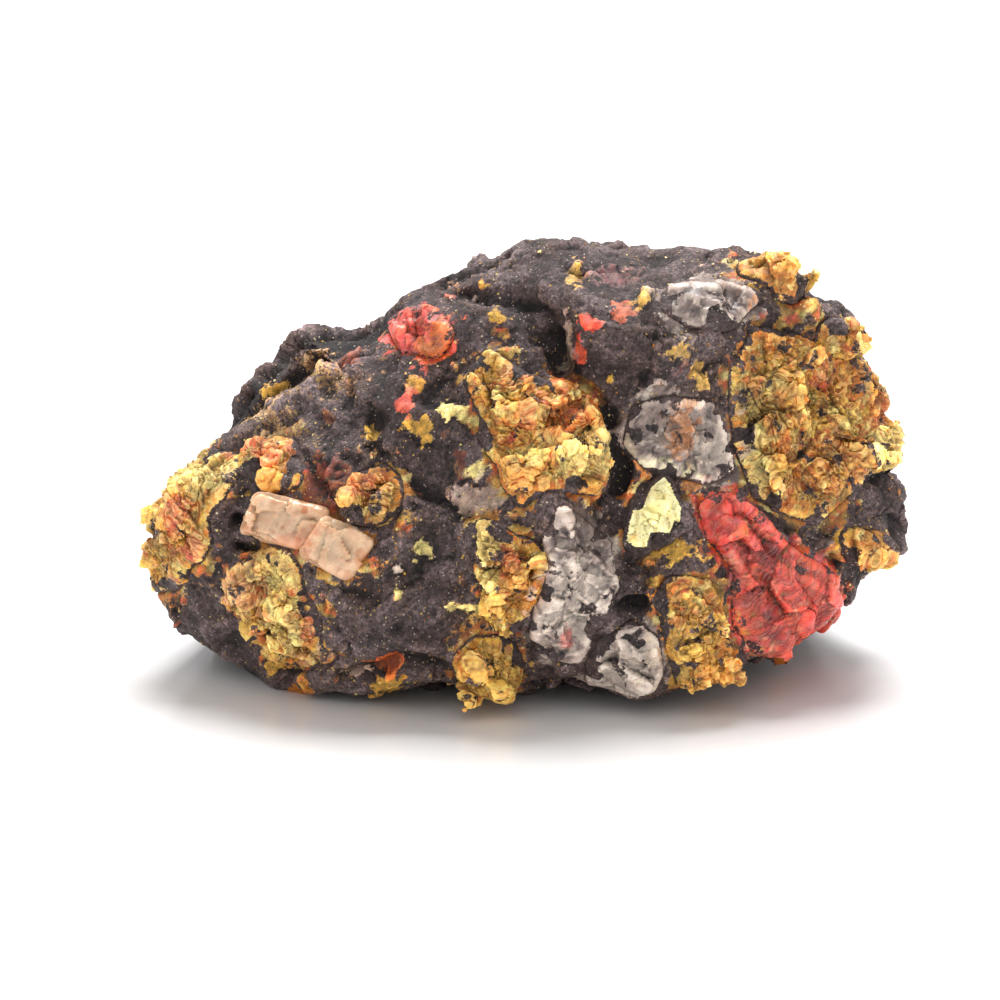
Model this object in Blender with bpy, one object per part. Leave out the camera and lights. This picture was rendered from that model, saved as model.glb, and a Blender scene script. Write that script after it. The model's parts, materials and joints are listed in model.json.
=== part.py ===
"""Realgar with orpiment: a rough hand specimen of dark shale, crusted and veined with minerals.

The host rock is one solid, built round a point inside it, the heart. Its shape is the outline that a
viewer in front of it sees, cut back by flat fracture faces, and then swollen, hollowed and cracked.
Each mineral mass that stands on it is a solid of its own in a socket in the rock.

Units are metres, +Z is up, +X runs along the specimen and the viewer looks along +Y. The origin is on
the surface that the specimen rests on, under its middle.
"""

import math

import bmesh
import bpy
from mathutils import Matrix, Vector, noise
from mathutils.bvhtree import BVHTree

# Driving dimensions. A length below is given in millimetres of a specimen of this length.
SPECIMEN_LENGTH = 0.0622
MM = SPECIMEN_LENGTH / 62.2

# The viewer, who sees the specimen from in front and a little above. Places on it are given on the
# sight plane, which goes through the heart square to the view: u runs right from the specimen's left
# tip, and v runs up from its lowest point. FAR marks a place on the side that the viewer can't see.
SIGHT_ELEVATION = math.radians(15)
SIGHT_DISTANCE = 600 * MM
HEART = Vector((-0.25, 0.05, 15.7)) * MM
HEART_U, HEART_V = 31.0, 19.0
RIGHT = Vector((1, 0, 0))
FORWARD = Vector((0, math.cos(SIGHT_ELEVATION), -math.sin(SIGHT_ELEVATION)))
UPWARD = Vector((0, math.sin(SIGHT_ELEVATION), math.cos(SIGHT_ELEVATION)))
EYE = HEART - FORWARD * SIGHT_DISTANCE
FAR = "far"

# The host rock's outline on the sight plane, anticlockwise from the right end.
OUTLINE = [
    (60.8, 20.4), (60.0, 22.6), (59.0, 25.0), (58.2, 27.0), (57.6, 28.8), (56.7, 30.4),
    (55.7, 32.2), (54.6, 33.0), (53.4, 33.1), (52.0, 34.1), (50.6, 35.4), (49.2, 36.7),
    (47.6, 37.4), (44.4, 37.0), (42.6, 36.2), (40.4, 36.8), (38.5, 36.4), (35.8, 37.4),
    (33.8, 37.8), (31.8, 37.4), (30.4, 36.7), (29.0, 35.5), (27.4, 35.4), (25.4, 34.5),
    (22.4, 32.7), (20.6, 32.0), (19.4, 30.6), (18.5, 29.7), (16.5, 29.7), (15.8, 30.1),
    (14.3, 29.9), (13.2, 29.2), (12.6, 28.2), (10.2, 26.7), (8.6, 25.7), (7.8, 24.3),
    (7.5, 22.2), (6.4, 20.7), (4.2, 18.3), (2.9, 16.6), (2.4, 15.0), (2.3, 13.0),
    (1.9, 10.7), (2.0, 9.5), (3.0, 7.9), (4.6, 5.7), (8.0, 3.7), (9.4, 2.7), (10.0, 0.8),
    (12.0, 0.2), (14.0, 0.8), (16.2, 1.6), (21.2, 2.2), (25.0, 2.2), (28.4, 1.6),
    (32.0, 1.8), (35.2, 1.9), (39.0, 1.3), (44.0, 1.2), (47.0, 2.2), (48.8, 3.7),
    (52.0, 4.6), (56.2, 5.8), (58.2, 6.7), (59.8, 8.6), (60.8, 11.1), (61.6, 13.0),
    (62.0, 14.6), (61.7, 17.2),
]

# Fracture faces of the host rock: the way each faces, and how far it lies from the heart.
FACES = [
    ((-0.18, -0.88, 0.42), 15.6),
    ((0.42, -0.86, 0.28), 17.6),
    ((-0.05, -0.95, -0.30), 18.6),
    ((-0.58, -0.76, -0.28), 22.6),
    ((-0.48, -0.50, 0.72), 16.6),
    ((0.05, -0.30, 0.95), 18.4),
    ((0.70, -0.70, -0.10), 24.6),
    ((0.10, 0.97, 0.12), 17.8),
    ((0.15, 0.62, 0.76), 18.2),
    ((-0.62, 0.74, 0.20), 19.4),
    ((0.68, 0.72, 0.05), 22.4),
    ((-0.10, 0.78, -0.62), 17.6),
    ((-0.90, 0.25, -0.35), 29.0),
    ((0.55, -0.20, -0.81), 22.5),
    ((0.97, 0.15, 0.15), 28.6),
    ((0.00, 0.00, -1.00), 17.3),
]
EDGE_ROUNDING = 2.6 * MM
GRAZING = 0.02

# Swellings of the rock, and hollows where the height is negative: place, radius and height.
SWELLINGS = [
    ((21.0, 7.2), 5.6, 2.2),
    ((4.8, 9.5), 4.2, 1.3),
    ((43.0, 29.0), 6.5, 1.6),
    ((35.0, 34.5), 5.0, 0.9),
    ((26.0, 27.5), 5.5, 0.9),
    ((11.0, 3.0), 2.6, 1.1),
    ((28.0, 14.5), 4.0, 0.8),
    ((57.5, 17.5), 4.0, 0.6),
    ((8.4, 14.3), 1.9, -3.2),
    ((45.0, 22.6), 5.5, -1.4),
    ((37.8, 14.0), 3.6, -1.2),
    ((57.6, 10.0), 2.4, -1.6),
    ((18.0, 12.0), 4.0, -0.8),
    ((14.0, 27.5, FAR), 6.0, 2.0),
    ((28.0, 31.0, FAR), 7.0, -2.4),
    ((44.0, 31.5, FAR), 6.0, 1.8),
    ((33.0, 17.0, FAR), 7.0, 1.8),
    ((24.0, 9.0, FAR), 5.0, -1.6),
    ((51.0, 14.0, FAR), 6.5, 2.0),
    ((56.0, 24.0, FAR), 5.0, -1.5),
]

# Ledges and cracks, each along a line of places: width and height, negative for a crack.
LEDGES = [
    ([(7.0, 21.2), (12.0, 24.6), (16.5, 27.6), (20.4, 30.8)], 1.5, 1.5),
    ([(9.4, 24.6), (13.2, 27.0), (17.6, 29.2)], 2.4, -4.2),
    ([(32.5, 31.0), (35.2, 27.6), (37.6, 24.4), (39.2, 21.2), (39.4, 18.6)], 1.3, -2.0),
    ([(25.0, 32.9), (30.0, 33.0), (33.5, 31.5)], 1.2, -1.0),
    ([(50.0, 33.6), (54.0, 31.0), (57.5, 28.4)], 1.5, 0.9),
    ([(55.6, 12.6), (58.4, 12.0), (61.0, 13.0)], 1.4, 1.2),
    ([(14.0, 21.0, FAR), (24.0, 23.0, FAR), (36.0, 28.0, FAR)], 1.8, -2.2),
    ([(12.0, 18.0, FAR), (22.0, 19.5, FAR), (31.0, 23.5, FAR)], 1.8, 1.5),
    ([(38.0, 10.0, FAR), (47.0, 20.0, FAR), (53.0, 26.0, FAR)], 1.8, 1.8),
    ([(42.0, 9.0, FAR), (50.0, 18.0, FAR), (56.0, 20.0, FAR)], 1.6, -1.8),
]

# The rock's roughness, as sizes and heights, and the size and tilt of its cleavage faces.
ROUGHNESS = [(8.0, 0.55), (3.2, 0.22)]
ROUGH_FALLOFF, ROUGH_STEP, ROUGH_LAYERS = 0.8, 2.0, 3
CLEAVAGE_CELL, CLEAVAGE_TILT = 6.0, 0.24
ROCK_SUBDIVISIONS = 6
ROCK_KEPT_SHARE = 0.11
BASE_CUTTER_SIZE = 90

# Where the heart lies in the noise. Another place gives other facets and another roughness.
NOISE_START = Vector((0.2, 0.4, 15.7))
FACET_DICE = 17.3

# A place just off the rock is pulled towards the heart by this share, until its sight line hits.
PULL_IN, MOST_PULLS = 0.01, 60

# Each mineral mass fills a socket. The gap is what is left between the two solids.
SOCKET_GAP = 0.3
SOCKET_FLARE = 0.4
SOCKET_CLEARANCE = 5.0
RIM_SINK = 0.2

# The rings of a mass from the bottom of its socket to its crown: share of the way out to the rim,
# and share of its depth (negative) or height.
RINGS = [(0.0, -1.0), (0.72, -0.85), (1.0, 0.0), (0.88, 0.58), (0.64, 0.86), (0.36, 1.0), (0.0, 1.0)]
SMALL_RINGS = [(0.0, -1.0), (0.72, -0.85), (1.0, 0.0), (0.82, 0.66), (0.45, 1.0), (0.0, 1.0)]
SEGMENTS, SMALL_SEGMENTS = 18, 12
SMALL_OUTLINE = 12
SOCKET_RINGS = [(0.0, -1.0), (0.72, -0.85), (1.0, 0.0), (1.0, 1.0), (0.5, 1.0), (0.0, 1.0)]

# Colours are linear, with roughness and metallic.
FINISHES = {
    "shale": ((0.075, 0.062, 0.062), 0.85, 0.0),
    "orpiment": ((0.62, 0.36, 0.06), 0.45, 0.1),
    "realgar": ((0.52, 0.05, 0.03), 0.40, 0.0),
    "quartz": ((0.42, 0.38, 0.37), 0.30, 0.0),
    "calcite": ((0.70, 0.46, 0.33), 0.35, 0.0),
}

# The mineral masses: finish, outline on the rock, height above it and depth in it.
MASSES = {
    "realgar_vein": (
        "realgar",
        [(45.4, 15.6), (45.6, 16.8), (47.0, 17.3), (48.3, 16.7), (49.2, 15.2), (50.6, 14.5),
         (51.4, 13.2), (53.2, 12.0), (55.0, 11.2), (56.0, 9.6), (56.4, 7.8), (55.6, 6.2),
         (53.2, 5.3), (50.6, 4.9), (48.7, 5.0), (48.1, 7.0), (48.2, 9.0), (48.4, 11.2),
         (46.8, 13.0), (45.7, 14.2)],
        1.5, 2.2,
    ),
    "realgar_upper": (
        "realgar",
        [(19.9, 30.3), (20.4, 31.4), (21.6, 31.9), (23.2, 31.5), (24.6, 30.4), (25.8, 29.3),
         (26.0, 28.4), (24.8, 28.2), (23.0, 28.8), (21.2, 29.5)],
        0.8, 1.6,
    ),
    "orpiment_right": (
        "orpiment",
        [(48.6, 29.0), (49.8, 30.8), (52.0, 30.6), (54.0, 28.9), (56.2, 27.2), (58.6, 27.0),
         (59.2, 25.4, FAR), (60.0, 22.4, FAR), (60.2, 20.6, FAR), (60.4, 19.6), (58.4, 19.2),
         (57.4, 17.6), (55.4, 16.6), (54.4, 14.6), (53.2, 13.4), (52.2, 15.2), (51.2, 16.8),
         (49.6, 17.2), (49.0, 20.0), (48.4, 22.6), (48.0, 25.4), (47.9, 27.4)],
        1.3, 2.2,
    ),
    "orpiment_centre": (
        "orpiment",
        [(26.4, 28.4), (28.4, 28.6), (30.2, 26.6), (33.0, 26.0), (36.0, 25.0), (37.0, 23.2),
         (37.7, 21.0), (37.4, 18.8), (36.9, 17.2), (36.6, 16.6), (34.6, 17.6), (32.8, 17.8),
         (31.4, 16.2), (30.0, 16.8), (29.6, 19.4), (28.2, 21.0), (27.6, 22.6), (28.4, 24.2),
         (26.6, 26.0)],
        1.5, 2.2,
    ),
    "orpiment_lower": (
        "orpiment",
        [(26.3, 13.8), (27.2, 14.6), (28.8, 14.6), (30.4, 13.6), (32.2, 13.0), (32.7, 11.2),
         (32.0, 9.2), (31.0, 7.6), (30.0, 6.0), (28.8, 6.8), (28.2, 8.6), (28.4, 10.4),
         (27.2, 12.0)],
        1.1, 1.8,
    ),
    "orpiment_foot": (
        "orpiment",
        [(26.2, 4.8), (27.8, 5.6), (29.6, 5.4), (30.4, 4.4), (30.8, 2.9), (30.2, 1.8),
         (28.4, 1.5), (26.8, 1.9), (25.8, 3.0)],
        1.0, 1.6,
    ),
    "orpiment_foot_right": (
        "orpiment",
        [(41.8, 9.4), (43.6, 10.4), (45.6, 10.0), (46.7, 8.4), (46.7, 6.4), (47.0, 4.4),
         (46.4, 2.8), (45.2, 1.8), (43.8, 1.9), (43.5, 3.6), (43.0, 6.0), (42.2, 7.8)],
        1.0, 1.8,
    ),
    "orpiment_nose": (
        "orpiment",
        [(6.6, 20.0), (8.3, 20.2), (8.2, 18.4), (7.0, 17.0), (5.6, 15.8), (5.7, 13.6),
         (4.8, 11.9), (3.6, 11.3), (2.9, 11.8, FAR), (2.6, 14.4, FAR), (4.0, 17.0, FAR),
         (5.4, 18.6, FAR)],
        0.7, 1.6,
    ),
    "orpiment_brow": (
        "orpiment",
        [(9.8, 21.2), (11.4, 21.4), (12.6, 19.9), (13.1, 18.2), (12.4, 17.6), (10.8, 17.7),
         (9.8, 18.6)],
        1.1, 1.5,
    ),
    "orpiment_left": (
        "orpiment",
        [(7.6, 9.0), (8.4, 11.4), (10.0, 12.3), (12.6, 12.2), (13.2, 10.6), (13.4, 8.8),
         (14.6, 7.6), (14.6, 5.6), (15.9, 3.7), (13.6, 3.6), (11.4, 4.8), (9.8, 5.4),
         (9.8, 6.8), (8.6, 7.8)],
        1.3, 1.8,
    ),
    "orpiment_knot": (
        "orpiment",
        [(16.9, 16.5), (17.4, 18.0), (19.0, 19.4), (20.4, 19.0), (21.0, 16.6), (20.2, 14.8),
         (18.4, 14.8), (17.2, 15.2)],
        0.9, 1.5,
    ),
    "orpiment_flake": (
        "orpiment",
        [(39.8, 13.4), (40.2, 16.4), (41.6, 18.2), (42.8, 18.0), (43.5, 16.0), (43.2, 14.4),
         (42.4, 13.2), (41.2, 12.9)],
        1.0, 1.5,
    ),
    "orpiment_crown": (
        "orpiment",
        [(49.6, 35.8), (51.0, 35.4), (52.4, 34.4), (53.1, 33.6), (52.9, 32.8), (51.6, 33.2),
         (50.4, 34.3)],
        1.4, 1.5,
    ),
    "orpiment_shoulder": (
        "orpiment",
        [(55.6, 31.4), (56.3, 30.9), (57.1, 29.4), (57.4, 28.3), (56.6, 28.2), (55.4, 29.2),
         (55.0, 30.6)],
        1.0, 1.2,
    ),
    "orpiment_corner": (
        "orpiment",
        [(56.4, 13.9), (57.3, 14.3), (58.6, 13.6), (59.6, 12.6), (59.8, 11.9), (58.4, 12.0),
         (57.0, 12.7)],
        0.8, 1.3,
    ),
    "orpiment_rear": (
        "orpiment",
        [(34.0, 27.0, FAR), (38.0, 30.0, FAR), (44.0, 29.5, FAR), (47.6, 25.6, FAR),
         (46.6, 21.0, FAR), (42.0, 19.4, FAR), (37.4, 20.6, FAR), (33.6, 23.2, FAR)],
        1.4, 1.9,
    ),
    "realgar_rear": (
        "realgar",
        [(17.6, 19.0, FAR), (20.4, 20.4, FAR), (24.4, 19.8, FAR), (26.0, 16.8, FAR),
         (24.4, 13.8, FAR), (20.4, 13.2, FAR), (17.4, 15.6, FAR)],
        1.2, 1.8,
    ),
    "quartz_seam": (
        "quartz",
        [(33.1, 16.3), (34.2, 16.2), (35.3, 15.3), (36.3, 14.2), (37.6, 13.6), (38.2, 11.2),
         (38.0, 8.8), (36.2, 6.2), (36.4, 4.8), (35.4, 3.6), (33.4, 3.9), (31.9, 5.2),
         (31.8, 7.2), (32.9, 8.8), (33.4, 11.4), (32.9, 14.0)],
        0.9, 1.7,
    ),
    "quartz_foot": (
        "quartz",
        [(37.4, 5.0), (38.8, 6.0), (40.8, 6.6), (41.6, 5.6), (41.9, 3.6), (41.6, 2.0),
         (40.6, 1.5), (38.2, 1.8), (36.0, 2.5), (36.6, 3.6)],
        1.0, 1.6,
    ),
    "quartz_band": (
        "quartz",
        [(39.0, 23.6), (41.2, 24.4), (44.6, 24.6), (46.8, 24.4), (46.8, 22.4), (47.6, 20.8),
         (48.0, 18.8), (46.6, 17.9), (44.6, 19.0), (42.0, 18.9), (40.2, 20.4)],
        0.5, 1.6,
    ),
    "quartz_vein": (
        "quartz",
        [(41.4, 32.9), (43.4, 33.7), (46.2, 33.5), (48.8, 33.6), (50.4, 33.0), (50.4, 31.7),
         (48.4, 31.4), (45.4, 31.2), (42.8, 31.5)],
        0.6, 1.4,
    ),
}

# How each mineral's crown is broken up: the size and tilt of its facets, the share of them that
# grow to crystals, and those crystals' height and lean.
HABITS = {
    "orpiment": (2.4, 0.40, 0.55, 0.8, 0.15),
    "realgar": (4.2, 0.42, 0.30, 0.5, 0.4),
    "quartz": (3.2, 0.22, 0.12, 0.3, 0.3),
}
CRYSTAL_TAPER = 0.22
CRYSTAL_MARGIN = 0.55
CROWN_SCATTER = 0.1
DEEPEST_FACET = 0.45
FOOT_CLEARANCE = 0.1
CHANCE_DICE, HEIGHT_DICE, LEAN_DICE, SCATTER_DICE = 0.37, 0.37 / 1.3, 1.7, 0.9

# The two calcite crystals: place, length, width, height, turn on the rock and skew.
CALCITES = [
    ((12.0, 15.0), 5.4, 2.9, 3.4, -13, 0.25),
    ((16.1, 12.9), 3.9, 3.1, 3.4, -26, 0.15),
]
CALCITE_PROUD = 1.2
CALCITE_CROSS_SKEW = 0.4


def on_sight_plane(u, v):
    """The point of the sight plane at u and v."""
    return HEART + (RIGHT * (u - HEART_U) + UPWARD * (v - HEART_V)) * MM


def outline_radius(angle):
    """How far the outline is from the heart at an angle on the sight plane."""
    before, after = POLAR_OUTLINE[-1], POLAR_OUTLINE[0]
    before = (before[0] - math.tau, before[1])
    for corner in POLAR_OUTLINE:
        if corner[0] > angle:
            after = corner
            break
        before = corner
    else:
        after = (after[0] + math.tau, after[1])
    share = (angle - before[0]) / (after[0] - before[0])
    return before[1] + (after[1] - before[1]) * share


def polar_outline():
    corners = []
    for u, v in OUTLINE:
        across, up = (u - HEART_U) * MM, (v - HEART_V) * MM
        corners.append((math.atan2(up, across) % math.tau, math.hypot(across, up)))
    return sorted(corners)


POLAR_OUTLINE = polar_outline()


def outline_reach(direction):
    """How far one can go from the heart in a direction before passing the outline."""
    across, up, away = (direction.dot(axis) for axis in (RIGHT, UPWARD, FORWARD))
    radius = outline_radius(math.atan2(up, across) % math.tau)
    room = math.hypot(across, up) * SIGHT_DISTANCE - radius * away
    return radius * SIGHT_DISTANCE / room if room > 0 else math.inf


def rounded_min(a, b, rounding):
    overlap = max(rounding - abs(a - b), 0) / rounding
    return min(a, b) - overlap * overlap * rounding / 4


def block_reach(direction):
    """The rock's surface before it is swollen and cracked: the outline cut back by the faces."""
    reach = outline_reach(direction)
    for facing, distance in FACES:
        normal = Vector(facing).normalized()
        along = normal.dot(direction)
        if along > GRAZING:
            reach = rounded_min(reach, distance * MM / along, EDGE_ROUNDING)
    return reach


def in_noise(point, size):
    """A point in the noise's own space, for features of a size in millimetres."""
    return ((point - HEART) / MM + NOISE_START) / size


def dice(place):
    """Three numbers from -1 to 1 that are the same all over a unit cube of the noise."""
    return noise.cell_vector(place) * 2 - Vector((1, 1, 1))


def facet_height(point, cell, tilt):
    """Height of a surface broken into flat tilted facets about one cell across."""
    place = in_noise(point, cell)
    centre = noise.voronoi(place)[1][0]
    return dice(centre * FACET_DICE).dot(place - centre) * cell * MM * tilt


def place_on(tree, place):
    """Where the sight line through a place meets the surface: its near side, or the far side."""
    u, v = place[:2]
    far = FAR in place
    for _ in range(MOST_PULLS):
        target = on_sight_plane(u, v)
        line = (target - EYE).normalized()
        start = EYE + line * 2 * SIGHT_DISTANCE if far else EYE
        hit = tree.ray_cast(start, -line if far else line)[0]
        if hit:
            return hit
        u += (HEART_U - u) * PULL_IN
        v += (HEART_V - v) * PULL_IN
    raise ValueError(f"the sight line through {place} misses the rock")


def distance_to_line(point, corners):
    nearest = math.inf
    for start, end in zip(corners, corners[1:]):
        span = end - start
        share = (point - start).dot(span) / span.length_squared
        nearest = min(nearest, (point - start - span * min(max(share, 0), 1)).length)
    return nearest


def relief(point, swellings, ledges):
    """How far a point of the block's surface moves out, or in."""
    height = 0.0
    for centre, radius, rise in swellings:
        height += rise * MM * math.exp(-((point - centre).length / (radius * MM)) ** 2)
    for corners, width, rise in ledges:
        height += rise * MM * math.exp(-(distance_to_line(point, corners) / (width * MM)) ** 2)
    for size, rise in ROUGHNESS:
        place = in_noise(point, size)
        height += rise * MM * noise.fractal(place, ROUGH_FALLOFF, ROUGH_STEP, ROUGH_LAYERS)
    return height + facet_height(point, CLEAVAGE_CELL, CLEAVAGE_TILT)


def new_object(name, mesh, finish, collection):
    item = bpy.data.objects.new(name, mesh)
    collection.objects.link(item)
    if finish:
        mesh.materials.clear()
        mesh.materials.append(finish)
    return item


def finish_material(name):
    colour, roughness, metallic = FINISHES[name]
    material = bpy.data.materials.new(name)
    material.use_nodes = True
    shader = material.node_tree.nodes["Principled BSDF"]
    shader.inputs["Base Color"].default_value = (*colour, 1.0)
    shader.inputs["Roughness"].default_value = roughness
    shader.inputs["Metallic"].default_value = metallic
    return material


def rock_mesh():
    """The host rock before its base and its sockets are cut."""
    ball = bmesh.new()
    bmesh.ops.create_icosphere(ball, subdivisions=ROCK_SUBDIVISIONS, radius=1)
    directions = {vertex: vertex.co.normalized() for vertex in ball.verts}
    for vertex, direction in directions.items():
        vertex.co = HEART + direction * block_reach(direction)
    block = BVHTree.FromBMesh(ball)
    swellings = [(place_on(block, place), radius, rise) for place, radius, rise in SWELLINGS]
    ledges = [
        ([place_on(block, place) for place in line], width, rise) for line, width, rise in LEDGES
    ]
    for vertex, direction in directions.items():
        vertex.co += direction * relief(vertex.co, swellings, ledges)
    mesh = bpy.data.meshes.new("matrix")
    ball.to_mesh(mesh)
    ball.free()
    return mesh


def build_rock(finish, collection):
    """The host rock with few triangles where it is flat."""
    rock = new_object("matrix", rock_mesh(), finish, collection)
    thin = rock.modifiers.new("Decimate", "DECIMATE")
    thin.ratio = ROCK_KEPT_SHARE
    graph = bpy.context.evaluated_depsgraph_get()
    thinned = bpy.data.meshes.new_from_object(rock.evaluated_get(graph), depsgraph=graph)
    rock.modifiers.clear()
    rock.data = thinned
    return rock


class Patch:
    """A region of the rock's surface, in polar coordinates round its own middle."""

    def __init__(self, surface, outline):
        self.surface = surface
        small = len(outline) < SMALL_OUTLINE
        self.rings, self.segments = (
            (SMALL_RINGS, SMALL_SEGMENTS) if small else (RINGS, SEGMENTS)
        )
        corners = [(place_on(surface, place) - HEART).normalized() for place in outline]
        self.middle = sum(corners, Vector()).normalized()
        self.across = self.middle.orthogonal().normalized()
        self.along = self.middle.cross(self.across)
        self.rim = sorted(
            (math.atan2(c.dot(self.along), c.dot(self.across)) % math.tau, self.middle.angle(c))
            for c in corners
        )

    def rim_angle(self, bearing):
        bearing %= math.tau
        wrapped = [(self.rim[-1][0] - math.tau, self.rim[-1][1]), *self.rim]
        wrapped.append((self.rim[0][0] + math.tau, self.rim[0][1]))
        for before, after in zip(wrapped, wrapped[1:]):
            if before[0] <= bearing <= after[0]:
                share = (bearing - before[0]) / (after[0] - before[0])
                return before[1] + (after[1] - before[1]) * share
        return wrapped[-1][1]

    def direction(self, bearing, share, extra=0.0):
        """The direction from the heart at a bearing and a share of the way to the rim."""
        angle = self.rim_angle(bearing) * share + extra
        sideways = self.across * math.cos(bearing) + self.along * math.sin(bearing)
        return self.middle * math.cos(angle) + sideways * math.sin(angle)

    def reach(self, direction):
        return (self.surface.ray_cast(HEART, direction)[0] - HEART).length

    def point(self, bearing, share, rise=0.0, extra=0.0):
        direction = self.direction(bearing, share, extra)
        return HEART + direction * (self.reach(direction) + rise)

    def breadth(self):
        """The mean distance from the middle to the rim."""
        angles = [angle for _, angle in self.rim]
        return sum(angles) / len(angles) * self.reach(self.middle)


def ringed_body(rings, segments, place_ring):
    """A sphere whose rings are moved to where place_ring puts them on a patch."""
    shape = bmesh.new()
    bmesh.ops.create_uvsphere(shape, u_segments=segments, v_segments=len(rings) - 1, radius=1)
    for vertex in shape.verts:
        level = math.acos(max(-1, min(1, -vertex.co.z))) / math.pi * (len(rings) - 1)
        bearing = math.atan2(vertex.co.y, vertex.co.x)
        vertex.co = place_ring(rings[round(level)], bearing)
    return shape


def mesh_from(shape, name):
    mesh = bpy.data.meshes.new(name)
    shape.to_mesh(mesh)
    shape.free()
    return mesh


def grow_crystals(shape, patch, height, finish):
    """Raises four-sided faces of a crown to flat-topped crystals that lean in over the mass."""
    _, _, share, crystal, lean = HABITS[finish]
    for face in [face for face in shape.faces if len(face.verts) == 4]:
        middle = face.calc_center_median()
        radial = (middle - HEART).normalized()
        above = (middle - HEART).length - patch.reach(radial)
        chance = (1 + dice(in_noise(middle, CHANCE_DICE)).x) / 2
        if above < CRYSTAL_MARGIN * height * MM or chance > share:
            continue
        outward = (radial - patch.middle * radial.dot(patch.middle)).normalized()
        sideways = dice(in_noise(middle, LEAN_DICE))
        sideways -= outward * max(0, sideways.dot(outward))
        inset = min(edge.calc_length() for edge in face.edges) * CRYSTAL_TAPER
        bmesh.ops.inset_individual(shape, faces=[face], thickness=inset, depth=0)
        rise = crystal * (1 + dice(in_noise(middle, HEIGHT_DICE)).x / 2) * MM
        bmesh.ops.translate(shape, verts=face.verts, vec=(radial + sideways * lean) * rise)
        for vertex in face.verts:
            vertex.co.z = max(vertex.co.z, FOOT_CLEARANCE * MM)


def mass_body(name, patch, finish, height, depth):
    """A mineral mass: a root in the rock, and a crown broken into facets and crystals."""
    cell, tilt = HABITS[finish][:2]

    def place(ring, bearing):
        share, level = ring
        rise = level * (height if level > 0 else depth) * MM - RIM_SINK * MM
        point = patch.point(bearing, share, rise)
        if level > 0:
            deepest = -DEEPEST_FACET * level * height * MM
            broken = max(facet_height(point, cell, tilt), deepest)
            shift = dice(in_noise(point, SCATTER_DICE)) * CROWN_SCATTER
            point += shift * (1 - share) * patch.breadth()
            point += (point - HEART).normalized() * broken
        point.z = max(point.z, FOOT_CLEARANCE * MM)
        return point

    shape = ringed_body(patch.rings, patch.segments, place)
    grow_crystals(shape, patch, height, finish)
    bmesh.ops.triangulate(shape, faces=shape.faces)
    return mesh_from(shape, name)


def socket_body(name, patch, depth):
    """What a mass's socket takes out of the rock: the mass's root with the gap all round it."""
    reach = patch.reach(patch.middle)
    gap = SOCKET_GAP * MM / reach
    flare = gap + SOCKET_FLARE * MM / reach

    def place(ring, bearing):
        share, level = ring
        if level > 0:
            return patch.point(bearing, share, SOCKET_CLEARANCE * MM, flare * share)
        rise = (level * (depth + SOCKET_GAP) - RIM_SINK) * MM
        return patch.point(bearing, share, rise, gap * share)

    return mesh_from(ringed_body(SOCKET_RINGS, patch.segments, place), name)


def add_boolean(item, operation, other):
    cut = item.modifiers.new(operation.title(), "BOOLEAN")
    cut.operation = operation
    cut.solver = "EXACT"
    if isinstance(other, bpy.types.Collection):
        cut.operand_type = "COLLECTION"
        cut.collection = other
    else:
        cut.object = other


def new_helper(mesh, collection):
    """An object that only cuts others or is joined to them."""
    helper = new_object(mesh.name, mesh, None, collection)
    helper.hide_render = True
    helper.display_type = "WIRE"
    return helper


def build_mass(name, surface, finishes, parts, sockets):
    finish, outline, height, depth = MASSES[name]
    patch = Patch(surface, outline)
    new_object(name, mass_body(name, patch, finish, height, depth), finishes[finish], parts)
    new_helper(socket_body(f"{name}_socket", patch, depth), sockets)


def calcite_block(name, sizes, surface, grown=0.0):
    """A skewed block lying in the rock, larger all round by grown."""
    place, length, width, height, turn, skew = sizes
    shape = bmesh.new()
    bmesh.ops.create_cube(shape, size=1)
    size = Matrix.Diagonal([side * MM + 2 * grown for side in (length, width, height)] + [1])
    slant = Matrix.Shear("XZ", 4, (skew, skew * CALCITE_CROSS_SKEW))
    spin = Matrix.Rotation(math.radians(turn), 4, "Z")
    sunk = Matrix.Translation((0, 0, (CALCITE_PROUD - height / 2) * MM))
    facing = Matrix((RIGHT, UPWARD, -FORWARD)).transposed().to_4x4()
    where = Matrix.Translation(place_on(surface, place)) @ facing @ spin @ sunk @ slant @ size
    bmesh.ops.transform(shape, matrix=where, verts=shape.verts)
    return mesh_from(shape, name)


def build_calcite(surface, finish, parts, sockets, helpers):
    """Two blocky calcite crystals grown into each other."""
    first, second = (calcite_block("calcite_crystals", sizes, surface) for sizes in CALCITES)
    crystals = new_object("calcite_crystals", first, finish, parts)
    add_boolean(crystals, "UNION", new_helper(second, helpers))
    for sizes in CALCITES:
        new_helper(calcite_block("calcite_socket", sizes, surface, SOCKET_GAP * MM), sockets)


def build_base_cutter(collection):
    """What is cut off the rock below the surface that it rests on."""
    shape = bmesh.new()
    bmesh.ops.create_cube(shape, size=BASE_CUTTER_SIZE * MM)
    below = Matrix.Translation((0, 0, -BASE_CUTTER_SIZE * MM / 2))
    bmesh.ops.transform(shape, matrix=below, verts=shape.verts)
    new_helper(mesh_from(shape, "base_cutter"), collection)


def new_collection(name):
    collection = bpy.data.collections.new(name)
    bpy.context.scene.collection.children.link(collection)
    return collection


def main():
    for item in list(bpy.data.objects):
        bpy.data.objects.remove(item)
    parts = new_collection("realgar_with_orpiment")
    sockets = new_collection("sockets")
    helpers = new_collection("joined_crystals")
    finishes = {name: finish_material(name) for name in FINISHES}
    rock = build_rock(finishes["shale"], parts)
    corners = [vertex.co for vertex in rock.data.vertices]
    surface = BVHTree.FromPolygons(corners, [face.vertices for face in rock.data.polygons])
    for name in MASSES:
        build_mass(name, surface, finishes, parts, sockets)
    build_calcite(surface, finishes["calcite"], parts, sockets, helpers)
    build_base_cutter(sockets)
    add_boolean(rock, "DIFFERENCE", sockets)


main()
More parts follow.
